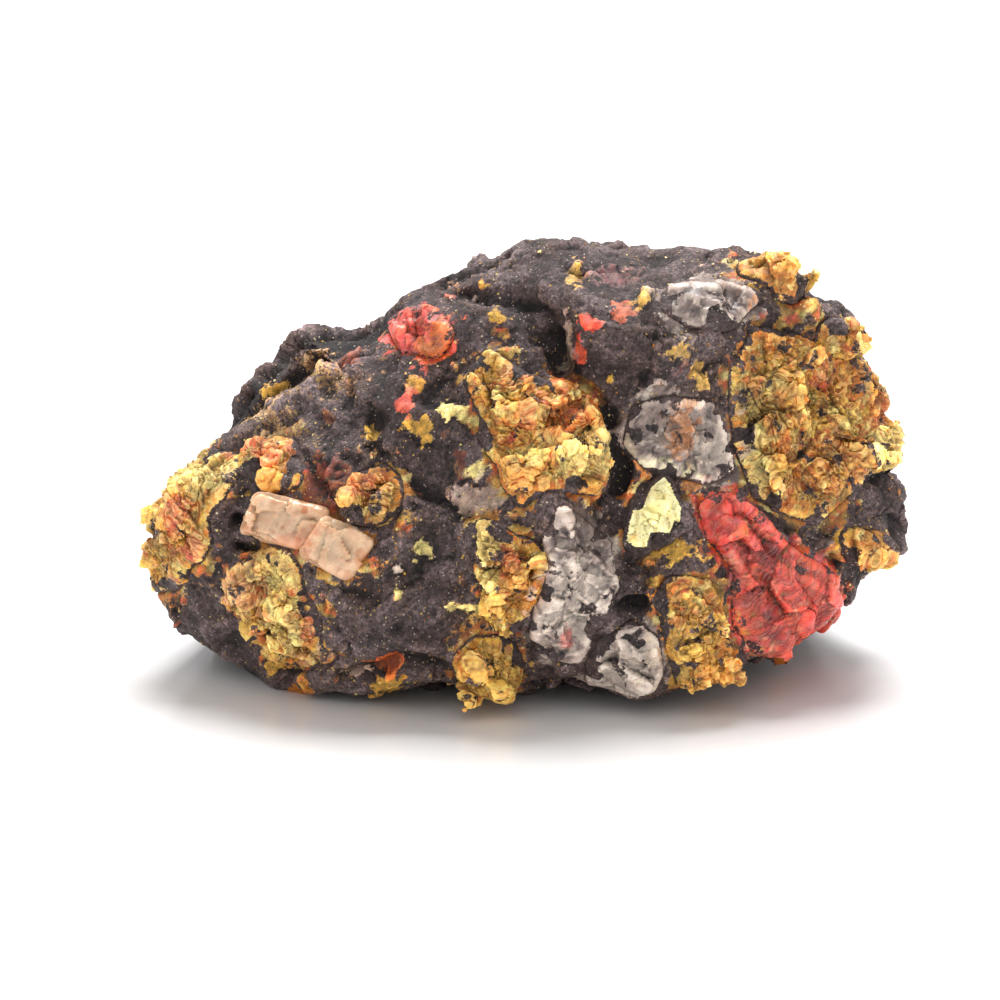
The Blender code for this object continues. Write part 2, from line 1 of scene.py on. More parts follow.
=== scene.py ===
"""Realgar with orpiment, dressed: a rough mineral specimen on a pale floor.

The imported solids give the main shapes. Each is copied here, meshed finely and broken up into facets,
cleavage steps and grains, and is coloured by its mineral. Thin cleavage plates and loose grains are
scattered over the result.

Lengths are metres, unless a name or a comment says millimetres.
"""

import json
import math

import bmesh
import bpy
import numpy as np
from bpy.props import FloatProperty, FloatVectorProperty, IntProperty, PointerProperty
from bpy.types import Operator, Panel, PropertyGroup
from mathutils import Matrix, Vector, geometry, noise
from mathutils.bvhtree import BVHTree

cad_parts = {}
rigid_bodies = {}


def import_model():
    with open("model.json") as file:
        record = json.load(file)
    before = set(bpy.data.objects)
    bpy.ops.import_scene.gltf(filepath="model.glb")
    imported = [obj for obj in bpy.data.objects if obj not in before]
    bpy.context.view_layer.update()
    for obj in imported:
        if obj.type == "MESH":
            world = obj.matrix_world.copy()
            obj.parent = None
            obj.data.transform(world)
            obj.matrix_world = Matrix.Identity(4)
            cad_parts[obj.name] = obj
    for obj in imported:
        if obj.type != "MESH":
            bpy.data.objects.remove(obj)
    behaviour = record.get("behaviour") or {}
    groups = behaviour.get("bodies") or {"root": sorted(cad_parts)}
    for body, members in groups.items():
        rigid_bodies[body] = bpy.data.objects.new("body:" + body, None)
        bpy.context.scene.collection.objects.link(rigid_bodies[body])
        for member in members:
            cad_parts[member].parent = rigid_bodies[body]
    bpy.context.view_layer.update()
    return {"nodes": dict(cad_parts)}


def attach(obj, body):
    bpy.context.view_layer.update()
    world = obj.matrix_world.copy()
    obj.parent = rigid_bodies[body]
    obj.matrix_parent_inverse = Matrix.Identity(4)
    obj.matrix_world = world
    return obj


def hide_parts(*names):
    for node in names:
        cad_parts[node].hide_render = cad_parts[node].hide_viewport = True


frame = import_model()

bl_info = {
    "name": "Realgar with Orpiment",
    "version": (1, 0, 0),
    "blender": (4, 5, 0),
    "location": "3D View > Sidebar > Specimen",
    "description": "Dresses the packed specimen with rock, crystals, cleavage plates and grains",
    "category": "Object",
}

MM = 0.001

# The viewer's line of sight goes through the heart, a point inside the specimen.
HEART = Vector((-0.25, 0.05, 15.7)) * MM
SIGHT_ELEVATION = math.radians(15)
SIGHT_DISTANCE = 0.6
RIGHT = Vector((1, 0, 0))
FORWARD = Vector((0, math.cos(SIGHT_ELEVATION), -math.sin(SIGHT_ELEVATION)))
UPWARD = Vector((0, math.sin(SIGHT_ELEVATION), math.cos(SIGHT_ELEVATION)))
EYE = HEART - FORWARD * SIGHT_DISTANCE

# A place that the viewer sees is given in pixels across and down from the top left corner of the
# viewer's frame. A pixel is this wide at the heart.
HEART_PIXEL = (522.5, 471.5)
PIXEL = 0.08 * MM

# Where the heart lies in the noise, in millimetres, and how finely facets draw their dice.
NOISE_START = Vector((0.2, 0.4, 15.7))
FACET_DICE = 17.3
ONES = Vector((1, 1, 1))

# How far each pattern is moved along the noise, so that no two of them fall together.
STEPS = {
    "plain": 0, "tones": 11, "folds": 30, "rust": 40, "marks": 60, "scattered": 90, "drift": 120,
    "near": 150, "haze": 200, "bare": 300,
}

MASSES = {
    "realgar": ["realgar_vein", "realgar_upper", "realgar_rear"],
    "orpiment": [
        "orpiment_right", "orpiment_centre", "orpiment_lower", "orpiment_foot",
        "orpiment_foot_right", "orpiment_nose", "orpiment_brow", "orpiment_left",
        "orpiment_knot", "orpiment_crown", "orpiment_shoulder", "orpiment_corner",
        "orpiment_rear",
    ],
    "flake": ["orpiment_flake"],
    "quartz": ["quartz_seam", "quartz_foot", "quartz_band", "quartz_vein"],
    "calcite": ["calcite_crystals"],
}

# How each mineral breaks, in millimetres: the size and tilt of its large and its small facets, the
# pitch and height of its cleavage steps, the way that its layers face and how far they stray from it,
# how much the layers bend, how far its skin is let out, and how often its mesh is relaxed. Then the
# colour of its standing edges, which is a painted highlight on realgar, orpiment and quartz and the
# edges' own colour on the flake and the calcite, the share of host rock that shows on it, how deep
# the painted shade of its hollows and the painted light of its crests are, and how much brighter than
# usual it is.
HABITS = {
    "realgar": {
        "large": (3.8, 0.24), "small": (1.2, 0.10), "steps": (0.8, 0.12), "facing": (-0.6, -0.2, 0.8),
        "stray": 0.25, "bend": 0.5, "skin": 0.25, "relax": 4,
        "edges": "coral", "bare": 0.7, "depth": 1.0, "lift": 0.0,
    },
    "orpiment": {
        "large": (3.2, 0.24), "small": (0.9, 0.2), "steps": (0.45, 0.24), "facing": (0.4, -0.3, 0.6),
        "stray": 0.8, "bend": 0.9, "skin": 0.25, "relax": 3,
        "edges": "lemon", "bare": 1.0, "depth": 1.0, "lift": 0.0,
    },
    "flake": {
        "large": (3.6, 0.10), "small": (1.6, 0.08), "steps": (0.8, 0.10), "facing": (0.8, 0, 0.3),
        "stray": 0.5, "bend": 0.5, "skin": 0.3, "relax": 2,
        "edges": "lemon", "bare": 0.0, "depth": 0.5, "lift": 0.4,
    },
    "quartz": {
        "large": (2.8, 0.18), "small": (1.1, 0.16), "steps": (1.6, 0.12), "facing": (0.2, -0.3, 0.8),
        "stray": 0.4, "bend": 0.6, "skin": 0.12, "relax": 6,
        "edges": "cream", "bare": 1.0, "depth": 1.0, "lift": 0.0,
    },
    "calcite": {
        "large": (2.6, 0.22), "small": (0.9, 0.07), "steps": (1.6, 0.06), "facing": (0.8, 0, -0.4),
        "stray": 0.3, "bend": 0.4, "skin": 0.18, "relax": 12,
        "edges": "peach", "bare": 0.3, "depth": 0.4, "lift": 0.0,
    },
}

# Colours of each mineral: the common one, and others with the size of their clouds in millimetres
# and the noise above which they show.
MINERAL_TONES = {
    "realgar": (
        "red",
        [("coral", 2.6, -0.05), ("rose", 1.6, 0.12), ("wine", 1.8, 0.12), ("orange", 1.6, 0.2),
         ("coral_pale", 0.8, 0.3), ("olive", 0.9, 0.4)],
    ),
    "orpiment": (
        "gold",
        [("amber", 2.0, -0.1), ("olive", 1.7, 0.12), ("orange", 1.2, 0.25), ("resin", 1.0, 0.3),
         ("lemon", 1.1, 0.3), ("red", 0.8, 0.5)],
    ),
    "flake": ("pale_lemon", [("lemon", 1.0, 0.0), ("gold", 1.2, 0.4)]),
    "quartz": ("quartz", [("quartz_shade", 2.0, 0.0), ("cream", 1.3, 0.2), ("slate", 0.8, 0.3)]),
    "calcite": ("shell", [("peach", 1.8, -0.05), ("amber_pale", 1.0, 0.3)]),
}

# How much of the rock a mark covers with mineral, and the colours for which that differs.
MARK_COVER = 0.82
MARK_COVERS = {"dust": 0.54, "wine": 0.6, "hollow_shade": 0.0, "slate": 0.0}

# The bright cleavage flake's outline, in pixels.
FLAKE_OUTLINE = [
    (664, 478), (669, 484), (673, 494), (680, 508), (679, 522), (674, 519), (669, 533), (660, 531),
    (650, 532), (646, 546), (634, 546), (628, 541), (629, 531), (634, 511), (643, 510), (649, 494),
    (652, 488),
]

# Ridges and grooves of the rock that the viewer sees: the pixels that each runs through, half its
# width in pixels and its height in millimetres.
ROCK_LINES = {
    "main crack": (
        [(548, 338), (560, 362), (575, 385), (598, 405), (618, 430), (627, 460), (622, 492)], 8, -1.4,
    ),
    "crack across the upper slope": ([(452, 291), (500, 298), (545, 310), (556, 335)], 7, -0.7),
    "crest of the left ridge": ([(240, 440), (290, 402), (345, 364), (374, 342)], 10, 1.0),
    "groove behind the left ridge": ([(236, 418), (285, 384), (330, 354), (360, 340)], 8, -1.2),
    "side of the lump behind": ([(226, 404), (246, 372), (268, 344), (300, 328), (366, 326)], 18, -1.5),
    "foot of the lump behind": ([(262, 352), (288, 338)], 14, -1.4),
    "lip of the lower edge": ([(340, 676), (400, 664), (455, 670)], 7, -1.0),
    "ledge by the seam": ([(585, 622), (610, 606), (645, 604)], 6, -1.2),
    "hole under the nose": ([(238, 522), (252, 524)], 7, -2.0),
    "hole below it": ([(238, 545), (256, 549)], 5, -1.8),
    "recess on the right": ([(866, 572), (872, 600), (858, 636)], 12, -1.2),
    "crest of the right ledge": ([(822, 542), (868, 553), (902, 546)], 5, 0.6),
    "groove under the right ledge": ([(836, 566), (884, 562)], 8, -1.4),
    "gap under the right mass": ([(864, 474), (903, 470)], 8, -1.8),
    "rib below the crown": ([(772, 268), (806, 306), (838, 345), (864, 372)], 6, 0.6),
    "boss of the lower rock": ([(350, 608), (362, 616)], 24, 0.5),
    "step across the middle": ([(402, 478), (440, 500), (470, 520), (505, 530)], 9, -1.0),
    "hollow below the calcite": ([(300, 562), (335, 582), (372, 600)], 8, -0.5),
    "hollow beside the knot": ([(303, 452), (316, 482), (345, 500)], 6, -0.6),
    "fold of the upper rock": ([(590, 312), (640, 318), (690, 330)], 7, -0.4),
    "gap under the quartz foot": ([(560, 690), (600, 690)], 8, -1.0),
}

# Marks on the side that the viewer sees: the colour, and the pixels of the left, right, top and
# bottom of its spot.
ROCK_MARKS = {
    "dust on the left ridge": ("dust", 238, 300, 395, 442),
    "dust along the ridge's crest": ("dust", 290, 372, 345, 402),
    "brown top of the lump behind": ("dust", 300, 338, 334, 356),
    "gold patch behind the ridge": ("gold", 254, 281, 378, 392),
    "gold nodule by the upper realgar": ("gold", 489, 510, 311, 323),
    "gold chip on the upper slope": ("gold", 471, 488, 280, 289),
    "small chip on the upper slope": ("dust", 446, 460, 279, 288),
    "gold grain in the middle of the slope": ("gold", 406, 432, 376, 392),
    "gold patch below the red dot": ("gold", 405, 434, 416, 440),
    "gold chip beside it": ("gold", 363, 379, 423, 440),
    "gold grain under the chip": ("dust", 353, 365, 441, 452),
    "red dot": ("coral", 394, 413, 395, 415),
    "red-brown grains": ("wine", 317, 333, 408, 422),
    "reddish rock by the ridge": ("wine", 335, 365, 355, 370),
    "pale foliated streak": ("lemon", 436, 470, 402, 416),
    "pale streak's end": ("lemon", 455, 495, 415, 424),
    "dark red stain by the knot": ("wine", 298, 358, 452, 520),
    "dark red stain in the middle": ("wine", 452, 472, 452, 486),
    "dark red dot": ("wine", 436, 450, 428, 442),
    "bright sliver in the middle": ("lemon", 468, 482, 462, 480),
    "grey quartz in the middle": ("quartz", 450, 498, 484, 512),
    "pale gold flakes": ("lemon", 413, 431, 537, 561),
    "white flakes": ("cream", 395, 403, 562, 578),
    "white flakes below": ("lemon", 395, 402, 582, 602),
    "gold sliver": ("lemon", 448, 488, 603, 612),
    "gold on the lower edge": ("gold", 368, 402, 676, 692),
    "orange-red on the lower edge": ("orange", 368, 400, 660, 676),
    "lower edge's pale chips": ("quartz", 340, 372, 670, 680),
    "gold at the left foot": ("gold", 262, 286, 655, 674),
    "gold chips at the left foot": ("amber", 288, 314, 684, 704),
    "red bits at the left foot": ("coral", 280, 292, 694, 702),
    # Painted shade: the hole under the nose is painted dark.
    "dark hollow under the nose": ("hollow_shade", 200, 262, 500, 552),
    "gold patch at the top": ("gold", 564, 583, 264, 286),
    "gold chip at the top edge": ("lemon", 536, 545, 248, 256),
    "red stain at the top": ("wine", 585, 640, 262, 284),
    "orange and gold at the top": ("orange", 612, 638, 296, 318),
    "gold beside it": ("gold", 634, 652, 290, 306),
    "dark red curved vein": ("red", 571, 584, 328, 368),
    "dark red vein's upper end": ("red", 578, 600, 315, 335),
    "pale rim of the vein": ("quartz", 558, 574, 320, 386),
    "quartz veil at the top": ("quartz", 650, 690, 288, 302),
    "quartz veil above the vein": ("quartz", 690, 712, 268, 312),
    "gold dot under the veil": ("gold", 668, 690, 345, 359),
    "gold dots by the crack": ("gold", 607, 616, 372, 384),
    "gold specks on the right": ("gold", 692, 707, 362, 388),
    "red speck on the right": ("wine", 674, 688, 362, 380),
    "red stain by the vein": ("wine", 698, 720, 312, 330),
    "yellow bits by the vein": ("gold", 745, 765, 286, 300),
    "brown-gold above the flake": ("amber", 634, 652, 448, 474),
    "gold beside the flake": ("amber", 683, 698, 470, 494),
    "gold-orange under the flake": ("gold", 652, 702, 538, 562),
    "gold chips near the realgar": ("gold", 690, 712, 580, 598),
    "red under the chips": ("red", 688, 704, 608, 622),
    "orange-brown beside the foot": ("amber", 650, 690, 586, 606),
    "gold on the lower right": ("gold", 836, 856, 524, 550),
    "gold on the ledge": ("gold", 866, 898, 544, 556),
    "bright dot on the right": ("cream", 827, 837, 487, 501),
    # Painted shade: the undercut recess on the right is painted dark.
    "dark recess on the right": ("hollow_shade", 850, 884, 560, 636),
    "dark rock on the right": ("slate", 850, 905, 460, 545),
    "gold along the bottom edge": ("amber", 750, 826, 650, 659),
    # Painted shade: the wedge in the shade under the ledge by the seam is painted the dark slate colour,
    # with the mineral taken off.
    "dark wedge by the seam": ("slate", 600, 646, 604, 636),
}
MASS_MARKS = {
    "lemon crust on the nose": ("lemon", 158, 236, 455, 495),
    "orange on the nose": ("coral", 222, 242, 448, 462),
    "red on the brow": ("coral", 252, 282, 446, 466),
    "gold edge of the brow": ("amber", 262, 298, 468, 492),
    "red on the left end": ("coral", 168, 188, 495, 530),
    "red under it": ("coral", 183, 202, 532, 556),
    "gold on the left end": ("gold", 138, 166, 490, 570),
    # Painted shade: the gap in the crust is painted dark.
    "dark gap in the crust": ("hollow_shade", 146, 170, 530, 546),
    "amber under the brow": ("amber", 218, 252, 492, 520),
    "lime crust on the left": ("lemon", 250, 300, 540, 600),
    "peach crystals on the left": ("peach", 222, 262, 556, 620),
    "bright gold on the left": ("lemon", 272, 302, 598, 650),
    "orange dot on the left": ("coral", 299, 320, 610, 636),
    "white crystal on the left": ("cream", 318, 338, 630, 656),
    "peach foot on the left": ("peach", 298, 332, 650, 668),
    "olive of the knot": ("olive", 352, 400, 480, 525),
    "red on the knot": ("red", 345, 376, 468, 500),
    "amber top of the knot": ("amber", 362, 398, 455, 480),
    "red of the upper patch": ("coral", 384, 436, 308, 336),
    "orange end of the upper patch": ("amber", 422, 460, 322, 356),
    "pale gold top of the centre": ("gold", 462, 500, 358, 382),
    "orange at the centre's top": ("orange", 552, 572, 385, 420),
    "red in the centre": ("red", 520, 536, 408, 428),
    "orange heart of the centre": ("orange", 544, 602, 400, 450),
    "bright yellow of the centre": ("lemon", 558, 622, 432, 482),
    "amber under it": ("amber", 574, 606, 478, 500),
    "amber branch of the centre": ("amber", 500, 546, 448, 512),
    "white edges of the branch": ("lemon", 515, 545, 448, 466),
    "lime crust of the lower mass": ("lemon", 462, 502, 526, 562),
    "lime streak of the lower mass": ("lemon", 478, 500, 560, 592),
    "red of the lower mass": ("coral", 500, 522, 540, 588),
    "gold of the lower mass": ("gold", 478, 508, 596, 630),
    "amber of the lower mass": ("amber", 508, 545, 560, 612),
    "gold of the foot": ("gold", 460, 522, 650, 709),
    "gold crown": ("amber", 750, 814, 252, 302),
    "gold top of the right mass": ("amber", 750, 802, 322, 352),
    "olive shadows of the right mass": ("olive", 738, 790, 376, 432),
    "amber crystals of the right mass": ("resin", 786, 856, 436, 484),
    "orange of the right end": ("orange", 862, 894, 396, 428),
    "pale edge of the right end": ("lemon", 868, 908, 428, 464),
    "amber of the right mass": ("amber", 830, 872, 366, 402),
    "red dots of the right mass": ("red", 812, 828, 372, 388),
    "gold tongue": ("gold", 793, 818, 498, 546),
    "lime column of the right mass": ("lemon", 744, 768, 438, 502),
    "bright flake": ("pale_lemon", 622, 690, 470, 552),
    "bright red lobe": ("red", 698, 742, 488, 540),
    # Partly painted highlight: the coral lobes below are the realgar's bright red, lighter where its
    # facets face the light.
    "orange-red lobe": ("coral", 742, 778, 524, 562),
    # Painted shade: the wine clefts of the realgar.
    "wine cleft": ("wine", 758, 778, 544, 592),
    "wine cleft below": ("wine", 748, 762, 588, 622),
    "coral lobe": ("coral", 774, 838, 556, 604),
    "pink lobe": ("coral", 738, 762, 598, 642),
    "gold specks on the realgar": ("amber", 784, 802, 610, 642),
    # Painted shade: the wine end of the realgar.
    "wine end": ("wine", 836, 852, 596, 628),
    "red foot of the realgar": ("red", 776, 836, 606, 650),
    "red spots of the right foot": ("coral", 688, 702, 608, 624),
    "yellow streaks of the right foot": ("gold", 658, 742, 618, 700),
    "amber edge of the right foot": ("amber", 700, 742, 652, 700),
    "brown stain of the band": ("amber", 664, 696, 404, 452),
    "bright part of the band": ("cream", 700, 744, 424, 466),
    "grey part of the band": ("quartz_shade", 612, 668, 398, 446),
    "dark specks of the seam": ("quartz_shade", 550, 612, 508, 562),
    "white part of the seam": ("cream", 540, 612, 566, 642),
    "white part of the quartz foot": ("cream", 600, 662, 640, 700),
    "red spot of the seam": ("coral", 560, 572, 630, 644),
    "pink edge of the calcite": ("coral_pale", 268, 352, 526, 556),
    "white heart of the calcite": ("shell", 256, 302, 498, 532),
    "pale block of the calcite": ("shell", 320, 362, 524, 572),
}


def srgb(red, green, blue):
    """Linear colour from the screen values 0 to 255."""
    shares = (value / 255 for value in (red, green, blue))
    return tuple(((share + 0.055) / 1.055) ** 2.4 if share > 0.04 else share / 12.92 for share in shares)


def colour(name, description, *screen):
    return FloatVectorProperty(
        name=name, description=description, subtype="COLOR", size=3, min=0, max=1,
        default=srgb(*screen),
    )


def length(name, description, millimetres):
    return FloatProperty(
        name=name, description=description, default=millimetres * MM, min=0, unit="LENGTH",
    )


class SPECIMEN_PG_colours(PropertyGroup):
    slate: colour("Slate", "Dark parts of the host rock", 74, 61, 60)
    slate_light: colour("Light slate", "Light parts of the host rock", 126, 108, 107)
    slate_brown: colour("Brown slate", "Rusty parts of the host rock", 98, 78, 72)
    # A dark colour painted into hollows, recesses and gaps as their shade.
    hollow_shade: colour("Hollow shade", "Deep hollows of the host rock", 34, 27, 27)
    dust: colour("Dust", "Mineral dust on the rock", 176, 142, 98)
    pale_lemon: colour("Pale lemon", "The brightest cleavage faces", 255, 248, 190)
    lemon: colour("Lemon", "Fresh cleavage faces of orpiment", 252, 234, 148)
    gold: colour("Gold", "Orpiment", 220, 170, 66)
    amber: colour("Amber", "Thick orpiment", 212, 128, 38)
    resin: colour("Resin", "Clear brown orpiment", 176, 92, 30)
    orange: colour("Orange", "Orpiment that mixes with realgar", 224, 94, 36)
    olive: colour("Olive", "Weathered orpiment", 128, 98, 40)
    coral: colour("Coral", "Bright realgar", 232, 96, 80)
    coral_pale: colour("Pale coral", "Realgar under calcite", 226, 158, 126)
    red: colour("Red", "Realgar", 206, 58, 50)
    rose: colour("Rose", "Hazy realgar", 214, 112, 112)
    wine: colour("Wine", "Dark realgar and its stains", 112, 40, 42)
    quartz: colour("Quartz", "Quartz", 164, 144, 135)
    quartz_shade: colour("Grey quartz", "Cloudy quartz", 112, 96, 91)
    cream: colour("Cream", "White crystals", 224, 208, 192)
    shell: colour("Shell", "Calcite", 244, 212, 176)
    peach: colour("Peach", "Warm calcite", 206, 152, 116)
    amber_pale: colour("Pale amber", "Calcite over orpiment", 204, 128, 76)


class SPECIMEN_PG_rock(PropertyGroup):
    voxel: length("Voxel", "Size of the rock's mesh faces", 0.33)
    waves: length("Waves", "Height of the rock's broad waves", 0.38)
    ribs: length("Ribs", "Height of the rock's sharp ribs", 0.22)
    chips: length("Chips", "Height of the rock's broken faces", 0.34)
    knobs: length("Knobs", "Height of the rock's small knobs", 0.12)
    inset: length("Inset", "How far the rock's relief starts below the solid's surface", 0.12)
    ore: length("Ore", "How far mineral spots stand above the rock", 0.16)


class SPECIMEN_PG_minerals(PropertyGroup):
    voxel: length("Voxel", "Size of the minerals' mesh faces", 0.17)
    fine_voxel: length("Fine voxel", "Size of the bright flake's mesh faces", 0.11)
    deepest: length("Deepest", "Most that a facet may sink or rise", 0.8)
    rim: length("Rim", "How far a mineral's sides are let out into the rock", 0.42)
    edge: FloatProperty(
        name="Sharp edge", description="Edges bent more than this are sharp", subtype="ANGLE",
        default=math.radians(32),
    )


class SPECIMEN_PG_scatter(PropertyGroup):
    chips: FloatProperty(
        name="Chips", description="Cleavage chips on a square millimetre of orpiment", default=0.7,
        min=0,
    )
    chip_size: length("Chip size", "Length of the largest chip", 1.1)
    grains: FloatProperty(
        name="Grains", description="Grains on a square millimetre of dusty rock", default=3.4, min=0,
    )
    grain_size: length("Grain size", "Length of the largest grain", 0.26)
    seed: IntProperty(name="Seed", description="Another seed scatters them otherwise", default=4)


class SPECIMEN_PG_stage(PropertyGroup):
    floor: colour("Floor", "Colour of the floor", 250, 249, 249)
    floor_size: FloatProperty(
        name="Floor size", description="Length of the floor's side", default=4, unit="LENGTH",
    )
    sky: FloatProperty(name="Sky", description="Strength of the light from all round", default=0.58)
    key: FloatProperty(
        name="Key light", description="Power of the light above and behind", default=6.4, unit="POWER",
    )
    fill: FloatProperty(
        name="Fill light", description="Power of the light in front and left", default=0.9, unit="POWER",
    )
    lens: FloatProperty(
        name="Lens", description="Focal length of the camera, in millimetres", default=270,
    )


class SPECIMEN_PG_settings(PropertyGroup):
    colours: PointerProperty(type=SPECIMEN_PG_colours)
    rock: PointerProperty(type=SPECIMEN_PG_rock)
    minerals: PointerProperty(type=SPECIMEN_PG_minerals)
    scatter: PointerProperty(type=SPECIMEN_PG_scatter)
    stage: PointerProperty(type=SPECIMEN_PG_stage)


def settings():
    return bpy.context.scene.specimen


def tone(name):
    """A colour of the settings as an array."""
    return np.array(getattr(settings().colours, name))


# Meshes

TOUCHING = 1e-6
RELAX = 0.5


def new_item(name, mesh, collection=None):
    item = bpy.data.objects.new(name, mesh)
    (collection or bpy.context.scene.collection).objects.link(item)
    return item


def made_mesh(shape, name="copy"):
    """A mesh with a shape's faces. The shape is freed."""
    mesh = bpy.data.meshes.new(name)
    shape.to_mesh(mesh)
    shape.free()
    return mesh


def merged_copy(nodes):
    """One mesh of CAD nodes, with the corners that their faces share."""
    shape = bmesh.new()
    for node in nodes:
        shape.from_mesh(frame["nodes"][node].data)
    bmesh.ops.remove_doubles(shape, verts=shape.verts, dist=TOUCHING)
    return made_mesh(shape)


def settled(item):
    """The object's mesh with its modifiers applied. The object is removed."""
    graph = bpy.context.evaluated_depsgraph_get()
    mesh = bpy.data.meshes.new_from_object(item.evaluated_get(graph), depsgraph=graph)
    bpy.data.objects.remove(item)
    return mesh


def shells_of(shape):
    """The corners of each closed shell of a shape."""
    unseen = set(shape.verts)
    shells = []
    while unseen:
        shell = [unseen.pop()]
        for corner in shell:
            reached = {side.other_vert(corner) for side in corner.link_edges} & unseen
            unseen -= reached
            shell.extend(reached)
        shells.append(shell)
    return shells


def without_crumbs(mesh):
    """The mesh with only its largest shell."""
    shape = bmesh.new()
    shape.from_mesh(mesh)
    shells = sorted(shells_of(shape), key=len)
    crumbs = [corner for shell in shells[:-1] for corner in shell]
    bmesh.ops.delete(shape, geom=crumbs, context="VERTS")
    shape.to_mesh(mesh)
    shape.free()
    return mesh


def finely_meshed(mesh, voxel, smoothing):
    """An even fine mesh of the same shape."""
    item = new_item("fine", mesh)
    grid = item.modifiers.new("Grid", "REMESH")
    grid.mode = "VOXEL"
    grid.voxel_size = voxel
    relax = item.modifiers.new("Relax", "SMOOTH")
    relax.factor = RELAX
    relax.iterations = smoothing
    return without_crumbs(settled(item))


def corner_array(mesh, what="co"):
    values = np.empty(len(mesh.vertices) * 3)
    mesh.vertices.foreach_get(what, values)
    return values.reshape(-1, 3)


def move_corners(mesh, points):
    """Moves the corners to points, but none below the floor."""
    points[:, 2] = np.maximum(points[:, 2], 0)
    mesh.vertices.foreach_set("co", points.ravel())
    mesh.update()


def store_colour(mesh, name, values):
    layer = mesh.attributes.new(name, "FLOAT_COLOR", "POINT")
    layer.data.foreach_set("color", np.column_stack([values, np.ones(len(values))]).ravel())


def store_number(mesh, name, values):
    layer = mesh.attributes.new(name, "FLOAT", "POINT")
    layer.data.foreach_set("value", np.ascontiguousarray(values, dtype=np.float32))


def tree_of(mesh):
    """A search tree of a mesh's faces."""
    corners = [face.vertices[:] for face in mesh.polygons]
    return BVHTree.FromPolygons(corner_array(mesh).tolist(), corners)


def nearest(tree, points):
    """How far points are from a surface, in millimetres."""
    return np.array([tree.find_nearest(Vector(point))[3] for point in points.tolist()]) / MM


# Noise. Places are in millimetres, so a size of 1 is a feature of about 1 mm.


def places_of(points):
    """Points as vectors of the noise's space."""
    return [Vector(place) for place in ((points - HEART) / MM + NOISE_START).tolist()]


def shifted(places, pattern, times=1):
    """Places moved to where a pattern's own noise is."""
    return [place + ONES * STEPS[pattern] * times for place in places]


def cloudy(places, size, layers=3, falloff=0.8):
    return np.array([noise.fractal(place / size, falloff, 2.0, layers) for place in places])


def facets(places, cell, tilt):
    """Heights of flat tilted facets, their dice, and the way from each facet's middle."""
    heights, rolls, ways = [], [], []
    for place in places:
        spot = place / cell
        centre = noise.voronoi(spot)[1][0]
        roll = noise.cell_vector(centre * FACET_DICE) * 2 - ONES
        way = spot - centre
        heights.append(roll.dot(way) * cell * tilt)
        rolls.append(roll)
        ways.append(way * cell)
    return np.array(heights), np.array(rolls), np.array(ways)


def ramp(values, low, high):
    """0 below low, 1 above high and smooth between them."""
    share = np.clip((values - low) / (high - low), 0, 1)
    return share * share * (3 - 2 * share)


def patches(places, pattern, size, low, high):
    """Soft patches: 1 where a pattern's noise is above high, and 0 where it is below low."""
    return ramp(cloudy(shifted(places, pattern), size), low, high)


def mixed(first, second, share):
    share = np.asarray(share)
    share = share[:, None] if share.ndim else share
    return first * (1 - share) + second * share


# Relief

# How many rounds of averaging give the surroundings of small crests and of broad ones.
SMALL_CRESTS = 4
ROCK_BROAD_CRESTS = 40
MASS_BROAD_CRESTS = 24
HIGHEST_CREST = 3


def edge_ends(mesh):
    ends = np.empty(len(mesh.edges) * 2, dtype=np.int32)
    mesh.edges.foreach_get("vertices", ends)
    return ends.reshape(-1, 2)


def averaged(values, ends, rounds):
    """Rows of values, each blended with those at the corners next to it."""
    starts, stops = np.concatenate([ends, ends[:, ::-1]]).T
    count = np.bincount(starts, minlength=len(values))
    for _ in range(rounds):
        sums = [np.bincount(starts, column[stops], len(values)) for column in values.T]
        values = (values + np.array(sums).T / count[:, None]) / 2
    return values


def standing_out(mesh, points, rounds):
    """How far each corner stands out of its surroundings, with 1 for a usual crest."""
    out = points - averaged(points, edge_ends(mesh), rounds)
    height = (out * corner_array(mesh, "normal")).sum(axis=1)
    return np.clip(height / height.std(), -HIGHEST_CREST, HIGHEST_CREST)


def shaded(tints, crests, strength):
    """Painted shade and light: the tints darker in hollows and lighter on crests."""
    return tints * np.exp(crests * strength - 0.13)[:, None]


# What the viewer sees

# The noise that makes the rims of the marks wander: its size in millimetres, and its height as a
# share of a mark's size.
WOBBLE_SIZE = 0.9
WOBBLE = 0.46


def seen_pixels(points):
    """Where the viewer sees points, in pixels across and down."""
    ways = points - EYE
    depth = ways @ FORWARD
    scale = SIGHT_DISTANCE / PIXEL / depth
    return HEART_PIXEL[0] + ways @ RIGHT * scale, HEART_PIXEL[1] - ways @ UPWARD * scale


def seen_share(normals):
    """1 where the surface faces the viewer, and 0 where it faces away."""
    return ramp(-(normals @ np.array(FORWARD)), -0.3, 0.0)


def far_from_path(path, spots):
    """How far spots are from a path through pixels."""
    closest = np.full(len(spots), np.inf)
    for first, second in zip(path, path[1:]):
        way = np.subtract(second, first)
        share = np.clip((spots - first) @ way / (way @ way), 0, 1)
        closest = np.minimum(closest, np.linalg.norm(spots - first - share[:, None] * way, axis=1))
    return closest


def far_inside(outline, spots):
    """How far spots are inside a closed outline in pixels, and less than 0 outside it."""
    closed = outline + outline[:1]
    odd = np.zeros(len(spots), dtype=bool)
    for (left, top), (right, bottom) in zip(closed, closed[1:]):
        if top != bottom:
            crossing = left + (spots[:, 1] - top) / (bottom - top) * (right - left)
            odd ^= ((top > spots[:, 1]) != (bottom > spots[:, 1])) & (spots[:, 0] < crossing)
    return far_from_path(closed, spots) * np.where(odd, 1, -1)


def line_heights(points, normals):
    """Heights of the rock's ridges and grooves, in millimetres."""
    spots = np.column_stack(seen_pixels(points))
    heights = np.zeros(len(points))
    for path, half_width, height in ROCK_LINES.values():
        heights += height * np.exp(-((far_from_path(path, spots) / half_width) ** 2))
    return heights * seen_share(normals)


